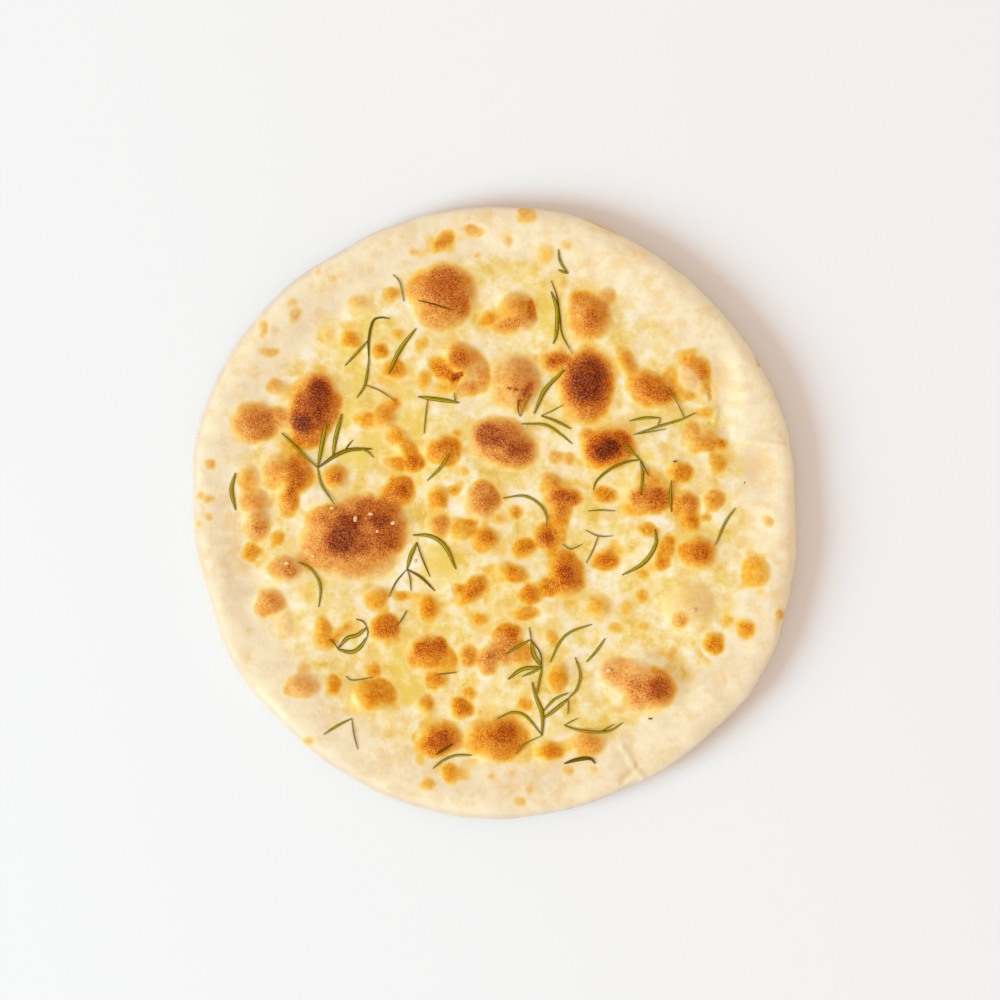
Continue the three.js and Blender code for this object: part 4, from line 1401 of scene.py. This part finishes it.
            share = smoothstep(self.tear_reach - tear.distance(x, y), 0.0, self.tear_softness)
            bake = np.maximum(bake, self.tear_browning * share)
        return bake, dryness, rings

    def oiliness(self, x: np.ndarray, y: np.ndarray) -> np.ndarray:
        """Works out how oily the dough is at each place, below 0 where it is bare; two patches carry painted
        shade and two bare spots painted highlights.
        """
        oil = np.zeros(len(x))
        for patch in OILY_AND_SHADED:
            share = smoothstep(self.oil_reach - patch.distance(x, y), 0.0, self.oil_softness)
            oil = np.maximum(oil, patch.strength * share)
        for spot in BARE_AND_GLINTS:
            oil -= spot.strength * smoothstep(self.bare_reach - spot.distance(x, y), 0.0, self.bare_softness)
        return oil

    def dryness(self, blister: Blister) -> float:
        """Gives a blister's own dryness, or that of the floury rim where it is a mere speck there."""
        is_speck = blister.size() < self.speck and math.hypot(blister.x, blister.y) > self.speck_radius
        return max(blister.dry, self.speck_dryness) if is_speck else blister.dry

    def depth(self, blister: Blister, x: np.ndarray, y: np.ndarray, chance: random.Random) -> np.ndarray:
        """Measures how deep each point lies inside a blister's uneven edge, in millimetres.

        Args:
            blister: The blister.
            x: Places across, in millimetres.
            y: Places along, in millimetres.
            chance: The seeded draw of the edge's lobes.

        Returns:
            Depths, below zero outside.
        """
        turn = np.arctan2(y - blister.y, x - blister.x)
        lobes = sum(
            height * np.cos(count * turn + chance.uniform(0.0, math.tau)) for count, height in self.lobes
        )
        return (1.0 + lobes - blister.distance(x, y)) * min(blister.half_width, blister.half_length)

    def baking(self, blister: Blister, depth: np.ndarray, softness: np.ndarray) -> np.ndarray:
        """Gives the browning that one blister brings: a soft halo, a rise at its edge, then its own level.

        Args:
            blister: The blister.
            depth: Depth of each point inside its edge, in millimetres.
            softness: Share of its size over which it rises.

        Returns:
            Browning from 0 to the blister's strength.
        """
        size = blister.size()
        rise = np.clip(softness * size, *self.edge_rise)
        edge = smoothstep(depth, -self.halo - self.halo_share * size, rise)
        middle = smoothstep(depth, self.middle_from * size, self.middle_full * size)
        added = self.middle_level - self.edge_level - blister.pale
        return blister.strength * (self.edge_level * edge + added * middle)

    def inset(self, points: np.ndarray) -> np.ndarray:
        """Measures how far each vertex lies inside the loaf's own outline, in millimetres."""
        radius = np.hypot(points[:, 0], points[:, 1])
        turn = np.arctan2(points[:, 1], points[:, 0]) / math.tau % 1.0 * self.outline_steps
        reach = np.zeros(self.outline_steps)
        np.maximum.at(reach, turn.astype(int) % self.outline_steps, radius)
        middles = np.arange(self.outline_steps) + 0.5
        return np.interp(turn, middles, reach, period=self.outline_steps) - radius

    def relief(self, points: np.ndarray, fields: Mapping[Field, np.ndarray]) -> np.ndarray:
        """Works out the height that small forms add to the solid's own surface, in millimetres.

        Args:
            points: The vertices.
            fields: Their fields.

        Returns:
            A height for each vertex, none on the base.
        """
        x, y = (points + self.wander(points * PLAN, self.relief_stray))[:, :2].T
        puffs = np.zeros(len(points))
        for blister in BLISTERS:
            firmness = min(blister.strength / self.firm_strength, 1.0)
            rise = min(self.puff_share * blister.size(), self.puff_most) * firmness
            dome = np.clip(1.0 - blister.distance(x, y) ** 2, 0.0, 1.0) ** self.puff_roundness
            puffs = np.maximum(puffs, rise * dome)
        for forms, softness in ((BULGES, self.bulge_softness), (TEARS, self.tear_slope)):
            for form in forms:
                puffs += form.strength * smoothstep(1.0 - form.distance(x, y), 0.0, softness)
        for crease in CREASES:
            puffs += crease.height(points[:, 0], points[:, 1])
        lumps = self.wander(points, self.swell)[:, 2] + self.wander(points, self.lump)[:, 2]
        lumps += self.wander(points, self.crinkle)[:, 2] * (self.crinkle_least + fields[Field.BAKE])
        lumps *= smoothstep(points[:, 2], *self.lump_span)
        return lumps + self.on_top(points) * puffs + self.filling(points)

    def unevenness(self, points: np.ndarray) -> np.ndarray:
        """Sways and puckers the flank in and out.

        Args:
            points: The vertices in millimetres.

        Returns:
            A step across for each vertex, none on the base and inside the rim.
        """
        share = smoothstep(-self.inset(points), *self.sway_inset)
        share *= smoothstep(points[:, 2], *self.sway_span)
        lumps = self.wander(points, self.sway)[:, 2] + self.wander(points, self.pucker)[:, 2]
        radius = np.hypot(points[:, 0], points[:, 1]).clip(self.least_radius)
        return points[:, :2] * (share * lumps / radius)[:, None]

    def filling(self, points: np.ndarray) -> np.ndarray:
        """Fills out the rim's shoulder, most at the outline and not at all at the crest and the base.

        Args:
            points: The vertices in millimetres.

        Returns:
            A height for each vertex.
        """
        height = points[:, 2]
        from_crest = (self.crest_height - height) / (self.crest_height - self.outline_height)
        share = np.clip(np.minimum(height / self.outline_height, from_crest), 0.0, 1.0)
        return self.brim * share * smoothstep(-self.inset(points), *self.brim_span)


class Ground:
    """The loaf's surface as something to lie on, in millimetres."""

    probe_height: float = 80.0

    def __init__(self, loaf: bpy.types.Object) -> None:
        """Reads the loaf's mesh."""
        bm = bmesh.new()
        bm.from_mesh(loaf.data)
        self.tree = BVHTree.FromBMesh(bm)
        bm.free()

    def height(self, x: float, y: float) -> float:
        """Finds the height of the crust at a place."""
        start = Vector((x, y, self.probe_height)) * MM
        return self.tree.ray_cast(start, Vector((0.0, 0.0, -1.0)))[0].z / MM


@dataclass
class Rosemary:
    """The rosemary on the crust: one piece for each sprig, its needles laid along their paths.

    Sizes are in millimetres.
    """

    step: float = 1.1
    rows: int = 6
    thickness: float = 0.28
    arch: float = 0.22
    groove: float = 0.14
    groove_width: float = 0.22
    tip: float = 0.3
    fullness: float = 0.5
    gap: float = 0.06
    stiffness: int = 14
    toasting: float = 0.5
    toast_reach: float = 0.8
    sharp: float = 50.0
    seed: int = 45704

    def build(self, ground: Ground) -> list[bpy.types.Object]:
        """Makes every sprig and puts it in place of its solid.

        Args:
            ground: The crust that the needles lie on.

        Returns:
            The sprigs' objects.
        """
        material = RosemaryFinish().material()
        chance = random.Random(self.seed)
        sprigs = []
        for number, needles in enumerate(SPRIGS, 1):
            node = f"rosemary_{number:02d}"
            bm = bmesh.new()
            layers = {blade: bm.verts.layers.float.new(blade.value) for blade in Blade}
            for width, path in needles:
                self.add_needle(bm, layers, ground, width, path, self.freshness(path, chance.random()))
            name = f"{node}_needles"
            sprig = add_object(name, finished(bm, name), material, self.sharp)
            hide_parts(node)
            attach(sprig, BODY)
            sprigs.append(sprig)
        log.info("rosemary: %d sprigs", len(sprigs))
        return sprigs

    def freshness(self, path: Sequence[tuple[float, float]], drawn: float) -> float:
        """Gives how fresh a needle is: as drawn, or toasted where it lies on a well browned blister.

        Args:
            path: The points that it passes.
            drawn: The random draw.

        Returns:
            A number from 0 to 1.
        """
        x, y = np.array(path).mean(axis=0)
        browned = [blister for blister in BLISTERS if blister.strength > self.toasting]
        return 0.0 if any(blister.distance(x, y) < self.toast_reach for blister in browned) else drawn

    def add_needle(
        self,
        bm: bmesh.types.BMesh,
        layers: Mapping[Blade, Any],
        ground: Ground,
        width: Width,
        path: Sequence[tuple[float, float]],
        tint: float,
    ) -> None:
        """Adds one needle: a strip drawn along its path, arched across, with a groove down its middle.

        Args:
            bm: The sprig's mesh.
            layers: The fields to fill.
            ground: The crust below.
            width: How wide the needle is.
            path: The points that it passes.
            tint: How fresh it is, from 0 to 1.
        """
        places = self.smooth_path(path)
        count = len(places)
        heights = self.lying(ground, places, width.value)
        made = bmesh.ops.create_grid(bm, x_segments=count - 1, y_segments=self.rows, size=1.0)["verts"]
        for vertex in made:
            along = (vertex.co.x + 1.0) / 2.0
            across = vertex.co.y
            here = round(along * (count - 1))
            ahead = places[min(here + 1, count - 1)] - places[max(here - 1, 0)]
            sideways = Vector((-ahead.y, ahead.x)).normalized()
            share = max(self.tip, math.sin(math.pi * along) ** self.fullness)
            spot = places[here] + sideways * (across * share * width.value / 2.0)
            groove = self.groove * math.exp(-((across / self.groove_width) ** 2))
            lift = share * (self.arch * (1.0 - across**2) - groove)
            height = heights[here] + self.gap + self.thickness + lift
            vertex[layers[Blade.ACROSS]] = across
            vertex[layers[Blade.ALONG]] = along
            vertex[layers[Blade.TINT]] = tint
            vertex.co = Vector((spot.x, spot.y, height)) * MM
        faces = unique(face for vertex in made for face in vertex.link_faces)
        bmesh.ops.recalc_face_normals(bm, faces=faces)
        if sum(face.normal.z for face in faces) < 0.0:
            bmesh.ops.reverse_faces(bm, faces=faces)
        bmesh.ops.solidify(bm, geom=faces, thickness=self.thickness * MM)

    def smooth_path(self, path: Sequence[tuple[float, float]]) -> list[Vector]:
        """Draws a smooth curve through a needle's points, with steps of about one length.

        Args:
            path: The points.

        Returns:
            Places along the curve.
        """
        knots = [Vector(point) for point in path]
        ends = [2.0 * knots[0] - knots[1], *knots, 2.0 * knots[-1] - knots[-2]]
        places = [knots[0]]
        for before, start, end, after in zip(ends, ends[1:], ends[2:], ends[3:]):
            steps = max(2, round((end - start).length / self.step))
            for step in range(1, steps + 1):
                share = step / steps
                # A cubic from the start to the end, whose slope at each of them follows its neighbours.
                bend = (end - before) * share
                bend += (2.0 * before - 5.0 * start + 4.0 * end - after) * share**2
                bend += (3.0 * (start - end) + after - before) * share**3
                places.append(start + bend / 2.0)
        return places

    def lying(self, ground: Ground, places: Sequence[Vector], width: float) -> list[float]:
        """Finds the heights at which a stiff needle lies: on the crust's high spots, bridging the hollows.

        Args:
            ground: The crust below.
            places: Places along the needle.
            width: The needle's width.

        Returns:
            A height for each place.
        """
        reach = width / 2.0
        offsets = ((0.0, 0.0), (reach, 0.0), (-reach, 0.0), (0.0, reach), (0.0, -reach))
        floor = [max(ground.height(place.x + dx, place.y + dy) for dx, dy in offsets) for place in places]
        heights = list(floor)
        for _ in range(self.stiffness):
            inner = [(heights[here - 1] + heights[here + 1]) / 2.0 for here in range(1, len(heights) - 1)]
            eased = [heights[0], *inner, heights[-1]]
            heights = [max(low, high) for low, high in zip(floor, eased)]
        return heights


@dataclass
class Crumbs:
    """Coarse grains of one kind on the crust, as one piece, in millimetres."""

    name: str
    grains: tuple[tuple[float, float, float], ...]
    slimness: float
    bevel: float = 0.16
    jitter: float = 0.16
    sink: float = 0.4
    breadths: Span = (0.75, 1.1)
    heights: Span = (0.5, 0.7)
    seed: int = 11

    def build(self, ground: Ground, material: bpy.types.Material) -> bpy.types.Object:
        """Makes the grains and rests them on the crust.

        Args:
            ground: The crust below.
            material: The grains' finish.

        Returns:
            The grains' object.
        """
        chance = random.Random(self.seed)
        bm = bmesh.new()
        for x, y, size in self.grains:
            self.add_grain(bm, chance, Vector((x, y, ground.height(x, y))), size)
        mesh = finished(bm, self.name)
        piece = add_object(self.name, mesh, material)
        mesh.shade_flat()
        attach(piece, BODY)
        log.info("%s: %d grains", self.name, len(self.grains))
        return piece

    def add_grain(self, bm: bmesh.types.BMesh, chance: random.Random, place: Vector, size: float) -> None:
        """Adds one grain: a chipped block, turned at random.

        Args:
            bm: The piece's mesh.
            chance: The seeded draw.
            place: Where it rests.
            size: How wide it is.
        """
        verts = bmesh.ops.create_cube(bm, size=1.0)["verts"]
        for vertex in verts:
            vertex.co += Vector([chance.uniform(-self.jitter, self.jitter) for _ in range(3)])
        edges = unique(edge for vertex in verts for edge in vertex.link_edges)
        made = bmesh.ops.bevel(
            bm, geom=edges, offset=self.bevel, affect="EDGES", segments=1, profile=0.5, material=-1
        )
        crystal = unique(vertex for face in made["faces"] for vertex in face.verts)
        breadth = size * self.slimness * chance.uniform(*self.breadths)
        shape = Matrix.Diagonal((size, breadth, size * chance.uniform(*self.heights)))
        turned = Matrix.Rotation(chance.uniform(0.0, math.pi), 3, "Z") @ shape
        bmesh.ops.transform(bm, matrix=(turned * MM).to_4x4(), verts=crystal)
        lowest = min(vertex.co.z for vertex in crystal)
        resting = Vector((place.x, place.y, place.z - self.sink)) * MM
        bmesh.ops.translate(bm, vec=resting - Vector((0.0, 0.0, lowest)), verts=crystal)


@dataclass
class Studio:
    """The floor, the light and the camera, in metres."""

    floor_size: float = 6.0
    sky_colour: Colour = (0.85, 0.69, 0.595, 1.0)
    key_colour: tuple[float, float, float] = (0.75, 1.135, 1.365)
    key_distance: float = 7.0
    key_size: float = 3.7
    key_power: float = 491.0
    key_elevation: float = 24.0
    key_azimuth: float = 200.0
    view_width: float = 0.5
    view_middle: tuple[float, float] = (0.003, 0.0065)
    outline_height: float = 0.0074
    lens: float = 135.0
    sensor: float = 36.0

    def build(self) -> None:
        """Sets the whole stage."""
        self.lay_floor()
        self.hang_lights()
        self.place_camera()
        log.info("studio: floor, light and camera")

    def lay_floor(self) -> None:
        """Lays a plain floor under the loaf."""
        bm = bmesh.new()
        bmesh.ops.create_grid(bm, x_segments=1, y_segments=1, size=self.floor_size / 2.0)
        add_object("studio_floor", finished(bm, "studio_floor"), FloorFinish().material())

    def hang_lights(self) -> None:
        """Lights the loaf by an even pale room and one broad lamp, low at the left."""
        scene = bpy.context.scene
        scene.view_settings.view_transform = "Standard"
        world = bpy.data.worlds.new("studio")
        world.use_nodes = True
        room = world.node_tree.nodes["Background"]
        room.inputs["Color"].default_value = self.sky_colour
        room.inputs["Strength"].default_value = 1.0
        scene.world = world
        lamp = bpy.data.lights.new("key", "AREA")
        lamp.shape = "DISK"
        lamp.size = self.key_size
        lamp.energy = self.key_power
        lamp.color = self.key_colour
        key = bpy.data.objects.new("key", lamp)
        azimuth = math.radians(self.key_azimuth)
        elevation = math.radians(self.key_elevation)
        flat = Vector((math.cos(azimuth), math.sin(azimuth), 0.0)) * math.cos(elevation)
        towards = flat + Vector((0.0, 0.0, math.sin(elevation)))
        key.location = towards * self.key_distance
        key.rotation_euler = towards.to_track_quat("Z", "Y").to_euler()
        scene.collection.objects.link(key)

    def place_camera(self) -> None:
        """Hangs the camera straight above, so wide that the frame takes in the view's width."""
        view = bpy.data.cameras.new("camera")
        view.lens = self.lens
        view.sensor_width = self.sensor
        camera = bpy.data.objects.new("camera", view)
        distance = self.view_width * self.lens / self.sensor
        camera.location = (*self.view_middle, distance + self.outline_height)
        bpy.context.scene.collection.objects.link(camera)
        bpy.context.scene.camera = camera


def main() -> None:
    """Builds the focaccia and its studio."""
    logging.basicConfig(level=logging.INFO)
    Studio().build()
    loaf = Loaf().build()
    ground = Ground(loaf)
    Rosemary().build(ground)
    Crumbs("salt_crystals", SALT_GRAINS, slimness=0.8).build(ground, SaltFinish().material())
    Crumbs("herb_crumbs", HERB_CRUMBS, slimness=0.45).build(ground, HerbFinish().material())


if __name__ == "__main__":
    main()
